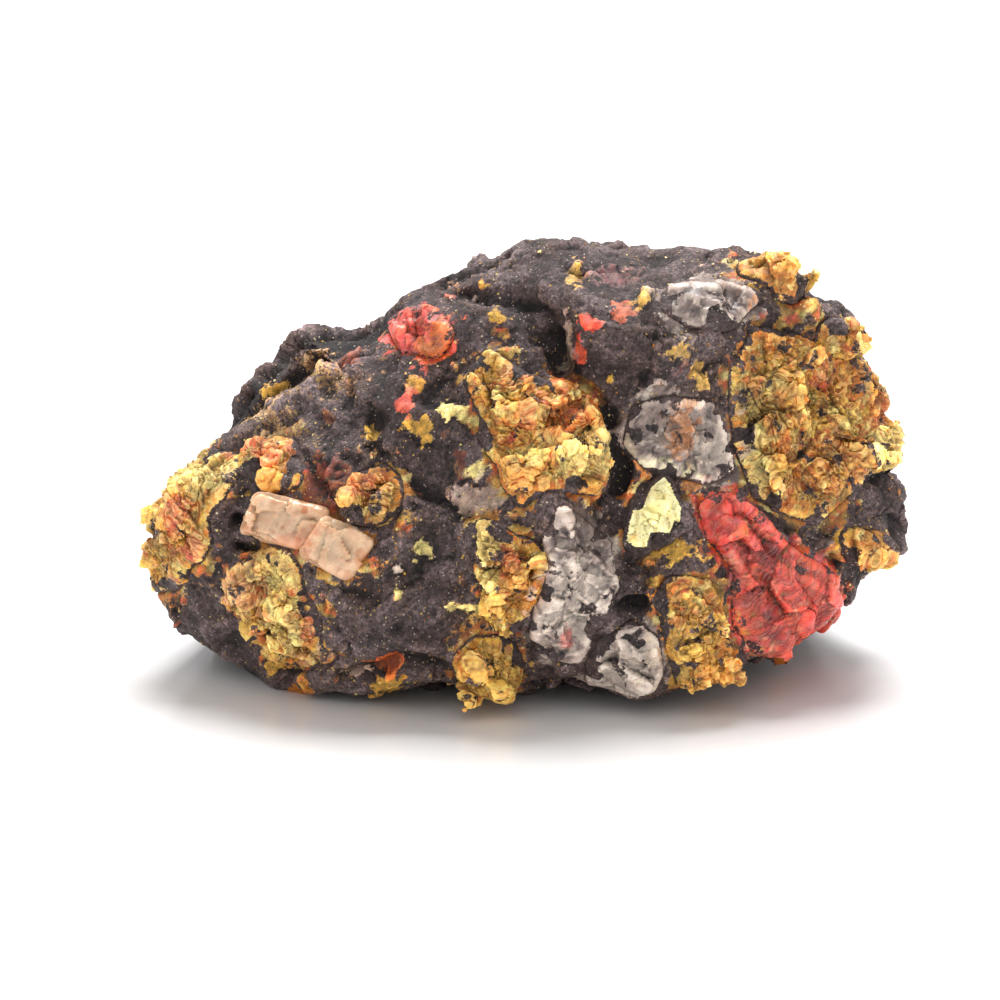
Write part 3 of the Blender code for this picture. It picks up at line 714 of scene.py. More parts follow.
def paint_marks(marks, points, normals, places, tints, cover):
    """Lays the marks over the tints, and over how much of each point is covered with mineral."""
    across, down = seen_pixels(points)
    seen = seen_share(normals)
    wobble = cloudy(shifted(places, "marks"), WOBBLE_SIZE) * WOBBLE
    for name, left, right, top, bottom in marks.values():
        far = np.hypot(
            (across - (left + right) / 2) / (right - left), (down - (top + bottom) / 2) / (bottom - top),
        )
        share = (1 - ramp(far + wobble, 0.2, 0.8)) * seen
        tints = mixed(tints, tone(name), ramp(share, 0.2, 0.5) * 0.8)
        most = MARK_COVERS.get(name, MARK_COVER)
        cover = np.maximum(cover, share * most) if most else cover * (1 - share)
    return tints, cover


def mineral_tints(kind, places):
    """Clouds of a mineral's colours."""
    common, others = MINERAL_TONES[kind]
    tints = np.tile(tone(common), (len(places), 1))
    for index, (name, size, start) in enumerate(others):
        cloud = cloudy(shifted(places, "tones", index + 1), size)
        tints = mixed(tints, tone(name), ramp(cloud, start, start + 0.2) * 0.9)
    return tints


# Shaders

# Sizes of the grain in the finishes, in millimetres.
ROCK_FINE = 0.2
ROCK_COARSE = 0.5
ROCK_GRAINS = 0.22
PATCH_GRAIN = 0.16
RAGGED_RIM = 0.32
CRYSTAL_FINE = 0.13
CRYSTAL_COARSE = 0.5
CHIP_GRAIN = 0.16
LOOSE_GRAIN = 0.1
FLOOR_GRAIN = 40.0

# The colour of the rock's tiny pale specks, which are partly painted glints.
SPARKLE = (0.62, 0.5, 0.42)
SOFT_GLOW = 0.5 * MM

# How each mineral takes the light: how much of it goes in and how far it goes in each colour, its
# roughness, the tints of its lighter cleavage lines, which are partly a painted highlight, and of its
# darker ones, with their pitch in millimetres and their strength, and how cloudy it is.
CRYSTAL_LOOKS = {
    "realgar": {
        "glow": 0.3, "glow_depth": (1.0, 0.25, 0.2), "gloss": 0.3, "light": (0.80, 0.32, 0.26),
        "dark": (0.5, 0.16, 0.16), "pitch": 0.22, "lining": 0.5, "cloud": 1.0,
    },
    "orpiment": {
        "glow": 0.2, "glow_depth": (1.0, 0.6, 0.2), "gloss": 0.36, "light": (0.90, 0.68, 0.26),
        "dark": (0.42, 0.24, 0.09), "pitch": 0.15, "lining": 0.6, "cloud": 1.4,
    },
    "flake": {
        "glow": 0.1, "glow_depth": (1.0, 0.8, 0.4), "gloss": 0.34, "light": (1.0, 0.95, 0.66),
        "dark": (0.8, 0.68, 0.36), "pitch": 0.2, "lining": 0.3, "cloud": 1.0,
    },
    "quartz": {
        "glow": 0.3, "glow_depth": (1.0, 0.95, 0.9), "gloss": 0.3, "light": (0.62, 0.55, 0.52),
        "dark": (0.6, 0.55, 0.54), "pitch": 0.5, "lining": 0.2, "cloud": 0.7,
    },
    "calcite": {
        "glow": 0.45, "glow_depth": (1.0, 0.6, 0.4), "gloss": 0.2, "light": (0.84, 0.66, 0.48),
        "dark": (0.85, 0.66, 0.48), "pitch": 0.6, "lining": 0.15, "cloud": 0.3,
    },
}

# The loose grains' colours along a scale from 0 to 1.
GRAIN_TONES = [("lemon", 0.1), ("gold", 0.3), ("dust", 0.5), ("olive", 0.86), ("amber", 0.97)]


def new_material(name):
    material = bpy.data.materials.new(name)
    material.use_nodes = True
    return material, material.node_tree, material.node_tree.nodes["Principled BSDF"]


def add_node(tree, kind, links=None, **values):
    """A node with its settings, and with what its inputs are linked to or hold."""
    node = tree.nodes.new(kind)
    for key, value in values.items():
        setattr(node, key, value)
    for key, value in (links or {}).items():
        if isinstance(value, bpy.types.NodeSocket):
            tree.links.new(value, node.inputs[key])
        else:
            node.inputs[key].default_value = value
    return node


def given_by(tree, kind, links=None, output=0, **values):
    """What a new node gives out."""
    return add_node(tree, kind, links, **values).outputs[output]


def maths(tree, operation, *values):
    return given_by(tree, "ShaderNodeMath", dict(enumerate(values)), operation=operation)


def read_attribute(tree, name, output="Fac"):
    return given_by(tree, "ShaderNodeAttribute", output=output, attribute_name=name)


def blend(tree, share, first, second, mode="MIX"):
    first, second = (
        value if isinstance(value, bpy.types.NodeSocket) else (*value, 1) for value in (first, second)
    )
    return given_by(
        tree, "ShaderNodeMix", {0: share, 6: first, 7: second}, output=2, data_type="RGBA",
        blend_type=mode,
    )


def remap(tree, value, low, high, new_low=0.0, new_high=1.0):
    return given_by(
        tree, "ShaderNodeMapRange",
        {"Value": value, "From Min": low, "From Max": high, "To Min": new_low, "To Max": new_high},
    )


def grain(tree, size, detail=4.0, roughness=0.6):
    """Noise with features of a size in millimetres."""
    place = given_by(tree, "ShaderNodeTexCoord", output="Object")
    return given_by(
        tree, "ShaderNodeTexNoise",
        {"Vector": place, "Scale": 1 / (size * MM), "Detail": detail, "Roughness": roughness},
    )


def cells(tree, size):
    """Cells of a size in millimetres: the way from each middle, and its dice."""
    place = given_by(tree, "ShaderNodeTexCoord", output="Object")
    node = add_node(tree, "ShaderNodeTexVoronoi", {"Vector": place, "Scale": 1 / (size * MM)})
    dice = add_node(tree, "ShaderNodeSeparateColor", {"Color": node.outputs["Color"]})
    return node.outputs["Distance"], dice.outputs


def streaks(tree, pitch):
    """Fine lines along the cleavage, whose distance is stored on the mesh."""
    wide = maths(tree, "MULTIPLY", read_attribute(tree, "layer"), 1 / pitch)
    return given_by(
        tree, "ShaderNodeTexNoise", {"W": wide, "Scale": 1.0, "Detail": 3.0}, noise_dimensions="1D",
    )


def bump(tree, height, distance, strength=1.0, below=None):
    """A normal bent by a height, whose distance is in millimetres."""
    links = {"Height": height, "Distance": distance * MM, "Strength": strength}
    if below:
        links["Normal"] = below
    return given_by(tree, "ShaderNodeBump", links)


def scaled(tree, tint, value, low, high, new_low, new_high):
    """A tint made darker or brighter where a value is low or high."""
    return blend(tree, 1.0, tint, remap(tree, value, low, high, new_low, new_high), "MULTIPLY")


def covered(tree, name, spread=1.2):
    """Turns a soft cover that is stored on the mesh into ragged patches."""
    ragged = grain(tree, RAGGED_RIM, 6.0, 0.66)
    noisy = maths(tree, "MULTIPLY_ADD", ragged, spread, read_attribute(tree, name))
    rim = 0.5 + spread / 2
    return remap(tree, noisy, rim - 0.04, rim + 0.05)


def rock_looks(tree, tint):
    """The rock's granular colour with its pale specks, which are partly painted glints, its roughness
    and its normal.
    """
    fine = grain(tree, ROCK_FINE, 5.0, 0.75)
    coarse = grain(tree, ROCK_COARSE, 5.0, 0.65)
    distance, dice = cells(tree, ROCK_GRAINS)
    tint = scaled(tree, tint, fine, 0.38, 0.62, 0.48, 1.5)
    tint = scaled(tree, tint, coarse, 0.3, 0.7, 0.65, 1.4)
    tint = scaled(tree, tint, dice[0], 0.0, 1.0, 0.5, 1.55)
    chosen = remap(tree, dice[1], 0.92, 0.93)
    inner = remap(tree, distance, 0.36, 0.24)
    tint = blend(tree, maths(tree, "MULTIPLY", chosen, inner), tint, SPARKLE)
    rough = bump(tree, coarse, 0.35, 0.7)
    return tint, remap(tree, fine, 0.3, 0.7, 0.5, 0.8), bump(tree, fine, 0.2, 1.0, rough)


def mix_looks(tree, share, first, second):
    """Blends two sets of a colour, a roughness and a normal."""
    return [blend(tree, share, one, other) for one, other in zip(first, second)]


def set_looks(tree, shader, looks, specular):
    for value, name in zip(looks, ("Base Color", "Roughness", "Normal")):
        tree.links.new(value, shader.inputs[name])
    shader.inputs["Specular IOR Level"].default_value = specular


def shale_material():
    """Dark granular rock, with ragged patches of mineral."""
    material, tree, shader = new_material("shale")
    rock = rock_looks(tree, read_attribute(tree, "base", "Color"))
    fine = grain(tree, PATCH_GRAIN, 5.0, 0.7)
    tint = scaled(tree, read_attribute(tree, "tint", "Color"), fine, 0.3, 0.7, 0.45, 1.5)
    mineral = tint, remap(tree, fine, 0.3, 0.7, 0.25, 0.5), bump(tree, fine, 0.12, 0.9)
    set_looks(tree, shader, mix_looks(tree, covered(tree, "cover"), rock, mineral), 0.5)
    return material


def crystal_material(kind):
    """A translucent mineral, whose grain and cleavage lines vary its stored tint."""
    own = CRYSTAL_LOOKS[kind]
    lining, gloss, cloud = own["lining"], own["gloss"], own["cloud"]
    material, tree, shader = new_material(f"{kind}_crystal")
    lines = streaks(tree, own["pitch"])
    fine = grain(tree, CRYSTAL_FINE, 4.0, 0.7)
    coarse = grain(tree, CRYSTAL_COARSE, 4.0, 0.6)
    tint = read_attribute(tree, "tint", "Color")
    tint = scaled(tree, tint, coarse, 0.3, 0.7, 1 - 0.25 * cloud, 1 + 0.2 * cloud)
    tint = scaled(tree, tint, fine, 0.3, 0.7, 1 - 0.28 * cloud, 1 + 0.25 * cloud)
    # The lighter cleavage lines are partly a painted highlight.
    tint = blend(tree, remap(tree, lines, 0.52, 0.72, 0.0, lining), tint, own["light"])
    tint = blend(tree, remap(tree, lines, 0.5, 0.32, 0.0, lining), tint, own["dark"], "MULTIPLY")
    roughness = remap(tree, fine, 0.3, 0.7, gloss * 0.6, gloss * 1.5)
    normal = bump(tree, fine, 0.06 * cloud, 0.7, bump(tree, lines, 0.2, lining))
    rock = rock_looks(tree, read_attribute(tree, "base", "Color"))
    looks = mix_looks(tree, covered(tree, "bare"), (tint, roughness, normal), rock)
    set_looks(tree, shader, looks, 0.6)
    shader.inputs["Subsurface Weight"].default_value = own["glow"]
    shader.inputs["Subsurface Radius"].default_value = own["glow_depth"]
    shader.inputs["Subsurface Scale"].default_value = SOFT_GLOW
    return material


def chip_material():
    """Pearly cleavage chips. Each has a shade of its own."""
    material, tree, shader = new_material("orpiment_chips")
    fine = grain(tree, CHIP_GRAIN, 4.0, 0.7)
    shade = read_attribute(tree, "shade")
    tint = scaled(tree, read_attribute(tree, "tint", "Color"), shade, 0.0, 1.0, 0.6, 1.3)
    tint = scaled(tree, tint, fine, 0.3, 0.7, 0.65, 1.3)
    tint = blend(tree, remap(tree, shade, 0.8, 1.0, 0.0, 0.6), tint, tuple(tone("lemon")))
    looks = tint, remap(tree, fine, 0.3, 0.7, 0.2, 0.45), bump(tree, fine, 0.06, 0.7)
    set_looks(tree, shader, looks, 0.7)
    return material


def grain_material():
    """Loose grains, from white and gold to rusty red."""
    material, tree, shader = new_material("grains")
    scale = add_node(tree, "ShaderNodeValToRGB", {"Fac": read_attribute(tree, "shade")})
    stops = scale.color_ramp.elements
    stops[0].color = (*tone("cream"), 1)
    stops[1].color = (*tone("wine"), 1)
    for name, place in GRAIN_TONES:
        stops.new(place).color = (*tone(name), 1)
    tree.links.new(scale.outputs["Color"], shader.inputs["Base Color"])
    shader.inputs["Roughness"].default_value = 0.3
    tree.links.new(bump(tree, grain(tree, LOOSE_GRAIN), 0.03, 0.6), shader.inputs["Normal"])
    return material


# The rock

# The sizes of the rock's relief in millimetres: its noise with its layers and how these fade, and its
# facets with their tilt.
WAVES = (5.5, 2)
RIBS = (2.2, 4, 0.7)
KNOBS = (0.6, 3, 0.6)
LARGE_CHIPS = (3.2, 0.45)
SMALL_CHIPS = (1.2, 0.4)

# How often the rock's mesh is relaxed.
ROCK_RELAX = 4

# The way across the rock's bedding.
BEDDING = Vector((-0.45, -0.25, 0.85))

# Distances in millimetres: the noise by which rock and mineral spread over each other and how far, the
# soft rim of the mineral round a mass, how far from a mass its specks reach, the part of the relief
# that fades towards a socket, and the part that fades towards the base.
DRIFT_SIZE = 2.4
DRIFT = 3.2
HALO = (-0.4, 0.9)
SPECKS_REACH = 3.0
SOCKET_ROOM = (0.3, 1.3)
BASE_ROOM = 1.5


def mass_surfaces():
    """One search tree of all the minerals, and the mineral that each of its faces belongs to."""
    points, corners, kinds = [], [], []
    for kind, nodes in MASSES.items():
        mesh = merged_copy(nodes)
        start = len(points)
        points += [corner.co[:] for corner in mesh.vertices]
        corners += [tuple(start + index for index in face.vertices) for face in mesh.polygons]
        kinds += [kind] * len(mesh.polygons)
        bpy.data.meshes.remove(mesh)
    return BVHTree.FromPolygons(points, corners), kinds


def nearest_mass(points):
    """How far each point is from the nearest mineral, in millimetres, and which that is."""
    tree, kinds = mass_surfaces()
    found = [tree.find_nearest(Vector(point)) for point in points.tolist()]
    return np.array([hit[3] for hit in found]) / MM, np.array([kinds[hit[2]] for hit in found])


def bedded(places):
    """Places squeezed along the rock's bedding, so that noise on them has long ribs."""
    across = BEDDING.normalized()
    return [place * 0.45 + across * place.dot(across) * 0.8 for place in places]


def rock_tints(places):
    """The host rock's own colours, before mineral marks."""
    tints = mixed(tone("slate"), tone("slate_light"), patches(places, "plain", 4.0, -0.3, 0.4) * 0.75)
    return mixed(tints, tone("slate_brown"), patches(places, "rust", 2.6, 0.0, 0.5) * 0.8)


def drift(places):
    """How far the rock spreads over the minerals' rims, or less than 0 where they spread over it."""
    return cloudy(shifted(places, "drift"), DRIFT_SIZE) * DRIFT


def halo_tints(places, kinds):
    """Colours of the mineral patches round each kind of mass."""
    tints = mixed(mineral_tints("orpiment", places), tone("slate_brown"), 0.3)
    for kind in ("realgar", "quartz"):
        tints = mixed(tints, mineral_tints(kind, places), kinds == kind)
    return tints


def rock_cover(places, distance, kinds):
    """The mineral's halo round the masses, and how much mineral there is before the marks."""
    reach = np.maximum(0.3 - drift(places), 0)
    halo = (1 - ramp(distance, reach + HALO[0], reach + HALO[1])) * 0.8
    near = 0.2 + 0.5 * patches(places, "near", 1.5, 0.0, 0.5)
    near = np.exp(-((distance / SPECKS_REACH) ** 2)) * near
    scattered = patches(places, "scattered", 5.0, -0.1, 0.6) * 0.26
    return halo, np.maximum(np.maximum(halo, scattered), near * (kinds != "quartz"))


def rock_relief(places, cover):
    """The heights of the rock's waves, ribs, broken faces and knobs, and the mineral that stands up."""
    own = settings().rock
    waves = cloudy(places, *WAVES)
    ribs = 0.35 - np.abs(cloudy(bedded(places), *RIBS))
    chips = facets(places, *LARGE_CHIPS)[0] + facets(places, *SMALL_CHIPS)[0] * 0.4
    knobs = cloudy(places, *KNOBS)
    patch = ramp(cover + knobs * 0.3, 0.42, 0.6)
    height = waves * own.waves + ribs * own.ribs * (1 - patch) + knobs * own.knobs
    height += chips * own.chips * (1 + patch * 0.5) + patch * own.ore
    return height, patch


def build_rock():
    own = settings().rock
    mesh = finely_meshed(merged_copy(["matrix"]), own.voxel, ROCK_RELAX)
    points, normals = corner_array(mesh), corner_array(mesh, "normal")
    places = places_of(points)
    distance, kinds = nearest_mass(points)
    halo, cover = rock_cover(places, distance, kinds)
    tints, cover = paint_marks(ROCK_MARKS, points, normals, places, halo_tints(places, kinds), cover)
    height, patch = rock_relief(places, cover)
    lines = line_heights(points, normals)
    height = (height + lines * MM - own.inset) * ramp(distance, *SOCKET_ROOM)
    free = ramp(points[:, 2], 0.0, BASE_ROOM * MM)
    points = points + normals * (height * (0.12 + 0.88 * free))[:, None]
    move_corners(mesh, points)
    crests = standing_out(mesh, points, SMALL_CRESTS)
    broad = standing_out(mesh, points, ROCK_BROAD_CRESTS)
    # Painted shade and light: the rock's colours are darker in its hollows and lighter on its crests,
    # and its deep hollows and grooves are painted towards the hollow shade. The mineral patches' tints
    # get painted shade and light from the small crests too.
    base = shaded(rock_tints(places), crests * 0.22 + broad * 0.14, 1.0)
    hollows = np.maximum(ramp(-broad - crests * 0.4, 0.9, 2.4), ramp(-lines, 0.2, 0.9))
    dusty = 0.1 + 0.6 * patches(places, "plain", 4.0, -0.1, 0.6) + halo + 0.3 * ramp(broad, 0.3, 1.5)
    store_colour(mesh, "base", mixed(base, tone("hollow_shade"), hollows * 0.8))
    store_colour(mesh, "tint", shaded(tints, crests, 0.35))
    store_number(mesh, "cover", cover)
    store_number(mesh, "flakes", patch)
    store_number(mesh, "dust", dusty * free)
    rock = new_item("rock", mesh)
    mesh.shade_smooth()
    mesh.materials.append(shale_material())
    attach(rock, "root")
    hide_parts("matrix")
    return rock


# The minerals

# The flake's plate, in millimetres: how thick it is, how far it stands out of its solid, and the size
# and tilt of its pleats.
FLAKE_THICKNESS = 1.8
FLAKE_RISE = 0.3
PLEATS = (1.5, 0.34)
FOLD_SIZE = 1.6
FOLD_DEPTH = 0.22


def crystal_heights(places, habit):
    """Facets and cleavage steps in millimetres, with the depth in the layers."""
    large, rolls, ways = facets(places, *habit["large"])
    small = facets(places, *habit["small"])[0]
    pitch, rise = habit["steps"]
    facing = rolls[:, [1, 2, 0]] * habit["stray"] + np.array(habit["facing"])
    facing = facing / np.linalg.norm(facing, axis=1)[:, None]
    layer = (ways * facing).sum(axis=1) + cloudy(places, 2.2) * habit["bend"]
    steps = (layer / pitch % 1 - 0.5) * rise + (layer / pitch * 2.7 % 1 - 0.5) * rise * 0.3
    return large + small + steps, layer


def flake_plane(solid, ways):
    """The middle and the facing of the flake's surface, where the viewer's ways to its rim meet it."""
    tree = tree_of(solid)
    hits = [tree.ray_cast(EYE, way)[0] for way in ways]
    hits = np.array([hit[:] for hit in hits if hit])
    middle = hits.mean(axis=0)
    facing = Vector(np.linalg.svd(hits - middle)[2][2])
    return Vector(middle), facing * (-1 if facing.dot(FORWARD) > 0 else 1)


def flake_solid(node):
    """The flake's solid with a flat plate on it that has the seen outline."""
    solid = merged_copy([node])
    ways = [
        FORWARD * SIGHT_DISTANCE
        + RIGHT * (across - HEART_PIXEL[0]) * PIXEL
        + UPWARD * (HEART_PIXEL[1] - down) * PIXEL
        for across, down in FLAKE_OUTLINE
    ]
    middle, facing = flake_plane(solid, ways)
    shape = bmesh.new()
    shape.from_mesh(solid)
    front = [geometry.intersect_line_plane(EYE, EYE + way, middle, facing) for way in ways]
    rims = [
        [shape.verts.new(point + facing * depth * MM) for point in front]
        for depth in (FLAKE_RISE, FLAKE_RISE - FLAKE_THICKNESS)
    ]
    shape.faces.new(rims[0])
    shape.faces.new(rims[1][::-1])
    for index, corner in enumerate(rims[0]):
        shape.faces.new((rims[0][index - 1], rims[1][index - 1], rims[1][index], corner))
    bmesh.ops.recalc_face_normals(shape, faces=shape.faces)
    return made_mesh(shape)


def large_pleats(places):
    """Flat tilted faces with a sharp fold between them, for the flake, in millimetres."""
    folds = np.abs(cloudy(shifted(places, "folds"), FOLD_SIZE, 2))
    return facets(places, *PLEATS)[0] - FOLD_DEPTH * (1 - ramp(folds, 0.0, 0.07))


def mass_relief(kind, points, places, socket_tree):
    """How far each corner of a mass moves, in millimetres, with its depth in the cleavage layers."""
    own = settings().minerals
    habit = HABITS[kind]
    heights, layer = crystal_heights(places, habit)
    room = ramp(nearest(socket_tree, points), 0.4, 1.5)
    heights = np.clip(heights, -own.deepest / MM, own.deepest / MM)
    heights = heights * np.where(heights < 0, room, 0.4 + 0.6 * room)
    if kind == "flake":
        heights = large_pleats(places) * room
    return heights + (own.rim / MM * (1 - room) + habit["skin"] * room), layer


def mass_tints(kind, points, normals, places, crests, broad):
    """A mass's colours, with its marks, painted shade in its hollows, painted light on its crests and
    the colour of its standing edges, mostly a painted highlight.
    """
    habit = HABITS[kind]
    tints, _ = paint_marks(MASS_MARKS, points, normals, places, mineral_tints(kind, places), 0.0)
    tints = mixed(tints, mineral_tints(kind, shifted(places, "haze")), 0.3)
    tints = shaded(tints, crests * 0.2 + broad * 0.28 + habit["lift"], habit["depth"])
    # The standing edges take the habit's edge colour: a painted highlight on realgar, orpiment and
    # quartz.
    edges = ramp(crests + broad * 0.3, 1.2, 2.4) * 0.45
    return mixed(tints, tone(habit["edges"]), edges)


def bare_share(kind, points, places, broad, rock_tree):
    """How much of the host rock shows: at wandering rims, in hollows and in clouds."""
    if kind == "flake":
        return 1 - ramp(far_inside(FLAKE_OUTLINE, np.column_stack(seen_pixels(points))), -2.0, 0.5)
    overgrown = np.maximum(drift(places), 0) + 0.3
    rims = (1 - ramp(nearest(rock_tree, points), overgrown - 0.3, overgrown + 0.5)) * 0.8
    hollows = ramp(-broad, 1.2, 2.6) * 0.5
    clouds = patches(places, "bare", 1.6, 0.1, 0.6) * 0.6
    return np.maximum(np.maximum(rims, hollows), clouds) * HABITS[kind]["bare"]


def build_mass(node, kind, material, rock_tree, socket_tree):
    own = settings().minerals
    flaky = kind == "flake"
    solid = flake_solid(node) if flaky else merged_copy([node])
    mesh = finely_meshed(solid, own.fine_voxel if flaky else own.voxel, HABITS[kind]["relax"])
    points, normals = corner_array(mesh), corner_array(mesh, "normal")
    places = places_of(points)
    heights, layer = mass_relief(kind, points, places, socket_tree)
    moved = points + normals * (heights * MM)[:, None]
    move_corners(mesh, moved)
    crests = standing_out(mesh, moved, SMALL_CRESTS)
    broad = standing_out(mesh, moved, MASS_BROAD_CRESTS)
    bare = bare_share(kind, moved, places, broad, rock_tree)
    store_colour(mesh, "tint", mass_tints(kind, points, normals, places, crests, broad))
    # The host rock that shows on a mass: its colours darkened towards the painted hollow shade, with
    # painted shade in broad hollows and painted light on broad crests.
    store_colour(mesh, "base", shaded(mixed(rock_tints(places), tone("hollow_shade"), 0.45), broad, 0.3))
    store_number(mesh, "layer", layer)
    store_number(mesh, "bare", bare)
    store_number(mesh, "flakes", 1 - bare)
    mesh.shade_smooth()
    mesh.set_sharp_from_angle(angle=own.edge)
    mesh.materials.append(material)
    mass = new_item(f"{node}_grown", mesh)
    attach(mass, "root")
    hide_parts(node)
    return mass


def build_kind(kind):
    """Builds each mass of a mineral, fitted to the dressed rock and to the solid's sockets."""
    material = crystal_material(kind)
    rock_tree = tree_of(bpy.data.objects["rock"].data)
    socket_tree = tree_of(merged_copy(["matrix"]))
    return [build_mass(node, kind, material, rock_tree, socket_tree) for node in MASSES[kind]]


# What is scattered

CHIP_LAYERS = 3
CHIP_CORNERS = 6
CHIP_STEP = 0.09
CHIP_SHAPES = 5
GRAIN_SHAPES = 4

# How scattered shapes lie: how far they lean, the size of the patches in which they lean alike, how
# deep they sink and how small the smallest are.
CHIP_LAY = {"Lean": 1.5, "Layer size": 3.0 * MM, "Sink": 0.15, "Smallest": 0.3 * MM}
ROCK_CHIP_LAY = {**CHIP_LAY, "Smallest": 0.2 * MM}
ROCK_CHIP_SHARE = 0.6
GRAIN_LAY = {"Lean": 1.0, "Layer size": 1.0 * MM, "Sink": 0.0, "Smallest": 0.06 * MM}

# The higher this is, the fewer of the shapes are large.
SIZE_POWER = 2.5

SCATTER_INPUTS = {
    "Hosts": "Collection", "Shapes": "Collection", "Density": "Float", "Largest": "Float",
    "Smallest": "Float", "Sink": "Float", "Lean": "Float", "Layer size": "Float", "Seed": "Int",
    "Finish": "Material",
}


def chip_shape(index, collection):
    """A stack of thin ragged layers, one unit long."""
    shape = bmesh.new()
    for layer in range(CHIP_LAYERS):
        disc = bmesh.ops.create_circle(shape, cap_ends=True, segments=CHIP_CORNERS, radius=0.5)
        aside = noise.cell_vector(Vector((index, layer, 3)) * 7.1) * 0.3
        for corner in disc["verts"]:
            roll = noise.cell_vector(corner.co * 5 + ONES * (index * 7 + layer * 3))
            corner.co *= (1 - 0.2 * layer) * (0.5 + 0.65 * roll.x)
            corner.co.y *= 0.6
            corner.co += Vector((aside.x, aside.y, layer * CHIP_STEP + 0.08 * roll.y))
    grown = bmesh.ops.extrude_face_region(shape, geom=shape.faces[:])["geom"]
    for corner in grown:
        if isinstance(corner, bmesh.types.BMVert):
            corner.co.z += CHIP_STEP * 0.8
    bmesh.ops.recalc_face_normals(shape, faces=shape.faces)
    name = f"chip_{index}"
    return new_item(name, made_mesh(shape, name), collection)


def grain_shape(index, collection):
    """A small angular grain, one unit long."""
    shape = bmesh.new()
    bmesh.ops.create_cube(shape, size=0.7)
    for corner in shape.verts:
        roll = noise.cell_vector(corner.co * 3 + ONES * index * 5)
        corner.co *= 0.5 + 0.8 * roll.x
        corner.co.z *= 0.8
    name = f"grain_{index}"
    return new_item(name, made_mesh(shape, name), collection)


def dice(tree, given, high, offset):
    """A throw from 0 to high for each scattered shape."""
    seed = given_by(tree, "FunctionNodeIntegerMath", {0: given["Seed"], 1: offset}, operation="ADD")
    return given_by(
        tree, "FunctionNodeRandomValue", {2: 0.0, 3: high, "Seed": seed}, output=1, data_type="FLOAT",
    )


def scattered_turn(tree, given, normal):
    """How each shape is turned: along the surface, leaning with its patch, and spun by its dice."""
    place = given_by(tree, "GeometryNodeInputPosition")
    scale = maths(tree, "DIVIDE", 1.0, given["Layer size"])
    swirl = given_by(
        tree, "ShaderNodeTexNoise", {"Vector": place, "Scale": scale, "Detail": 1.0}, output="Color",
    )
    middle = (0.5, 0.5, 0.5)
    swirl = given_by(tree, "ShaderNodeVectorMath", {0: swirl, 1: middle}, operation="SUBTRACT")
    leaning = {0: swirl, "Scale": given["Lean"]}
    leaning = given_by(tree, "ShaderNodeVectorMath", leaning, operation="SCALE")
    way = given_by(tree, "ShaderNodeVectorMath", {0: normal, 1: leaning}, operation="ADD")
    aligned = given_by(tree, "FunctionNodeAlignRotationToVector", {"Vector": way}, axis="Z")
    spin = given_by(tree, "ShaderNodeCombineXYZ", {"Z": dice(tree, given, math.tau, 2)})
    spin = given_by(tree, "FunctionNodeEulerToRotation", {"Euler": spin})
    turn = {"Rotation": aligned, "Rotate By": spin}
    return given_by(tree, "FunctionNodeRotateRotation", turn, rotation_space="LOCAL")


def scatter_tree(where):
    """Scatters shapes over hosts, thickest where the named attribute is high."""
    tree = bpy.data.node_groups.new("Scatter", "GeometryNodeTree")
    for name, kind in SCATTER_INPUTS.items():
        tree.interface.new_socket(name=name, in_out="INPUT", socket_type=f"NodeSocket{kind}")
    tree.interface.new_socket(name="Geometry", in_out="OUTPUT", socket_type="NodeSocketGeometry")
    given = tree.nodes.new("NodeGroupInput").outputs
    hosts = given_by(tree, "GeometryNodeCollectionInfo", {"Collection": given["Hosts"]})
    surface = given_by(tree, "GeometryNodeRealizeInstances", {"Geometry": hosts})
    thick = given_by(tree, "GeometryNodeInputNamedAttribute", {"Name": where}, data_type="FLOAT")
    density = maths(tree, "MULTIPLY", given["Density"], thick)
    points = add_node(
        tree, "GeometryNodeDistributePointsOnFaces",
        {"Mesh": surface, "Density": density, "Seed": given["Seed"]},
    ).outputs
    toned = given_by(
        tree, "GeometryNodeStoreNamedAttribute",
        {"Geometry": points["Points"], "Name": "shade", "Value": dice(tree, given, 1.0, 1)},
        data_type="FLOAT", domain="POINT",
    )
    rare = maths(tree, "POWER", dice(tree, given, 1.0, 3), SIZE_POWER)
    size = given_by(
        tree, "ShaderNodeMapRange",
        {"Value": rare, "To Min": given["Smallest"], "To Max": given["Largest"]},
    )
    shapes = given_by(
        tree, "GeometryNodeCollectionInfo",
        {"Collection": given["Shapes"], "Separate Children": True, "Reset Children": True},
    )
    turn = scattered_turn(tree, given, points["Normal"])
    copies = given_by(
        tree, "GeometryNodeInstanceOnPoints",
        {"Points": toned, "Instance": shapes, "Pick Instance": True, "Rotation": turn, "Scale": size},
    )
    drop = maths(tree, "MULTIPLY", given["Sink"], -1.0)
    drop = given_by(tree, "ShaderNodeCombineXYZ", {"Z": drop})
    sunk = given_by(
        tree, "GeometryNodeTranslateInstances",
        {"Instances": copies, "Translation": drop, "Local Space": True},
    )
    made = given_by(tree, "GeometryNodeRealizeInstances", {"Geometry": sunk})
    done = {"Geometry": made, "Material": given["Finish"]}
    done = given_by(tree, "GeometryNodeSetMaterial", done)
    add_node(tree, "NodeGroupOutput", {"Geometry": done})
    return tree


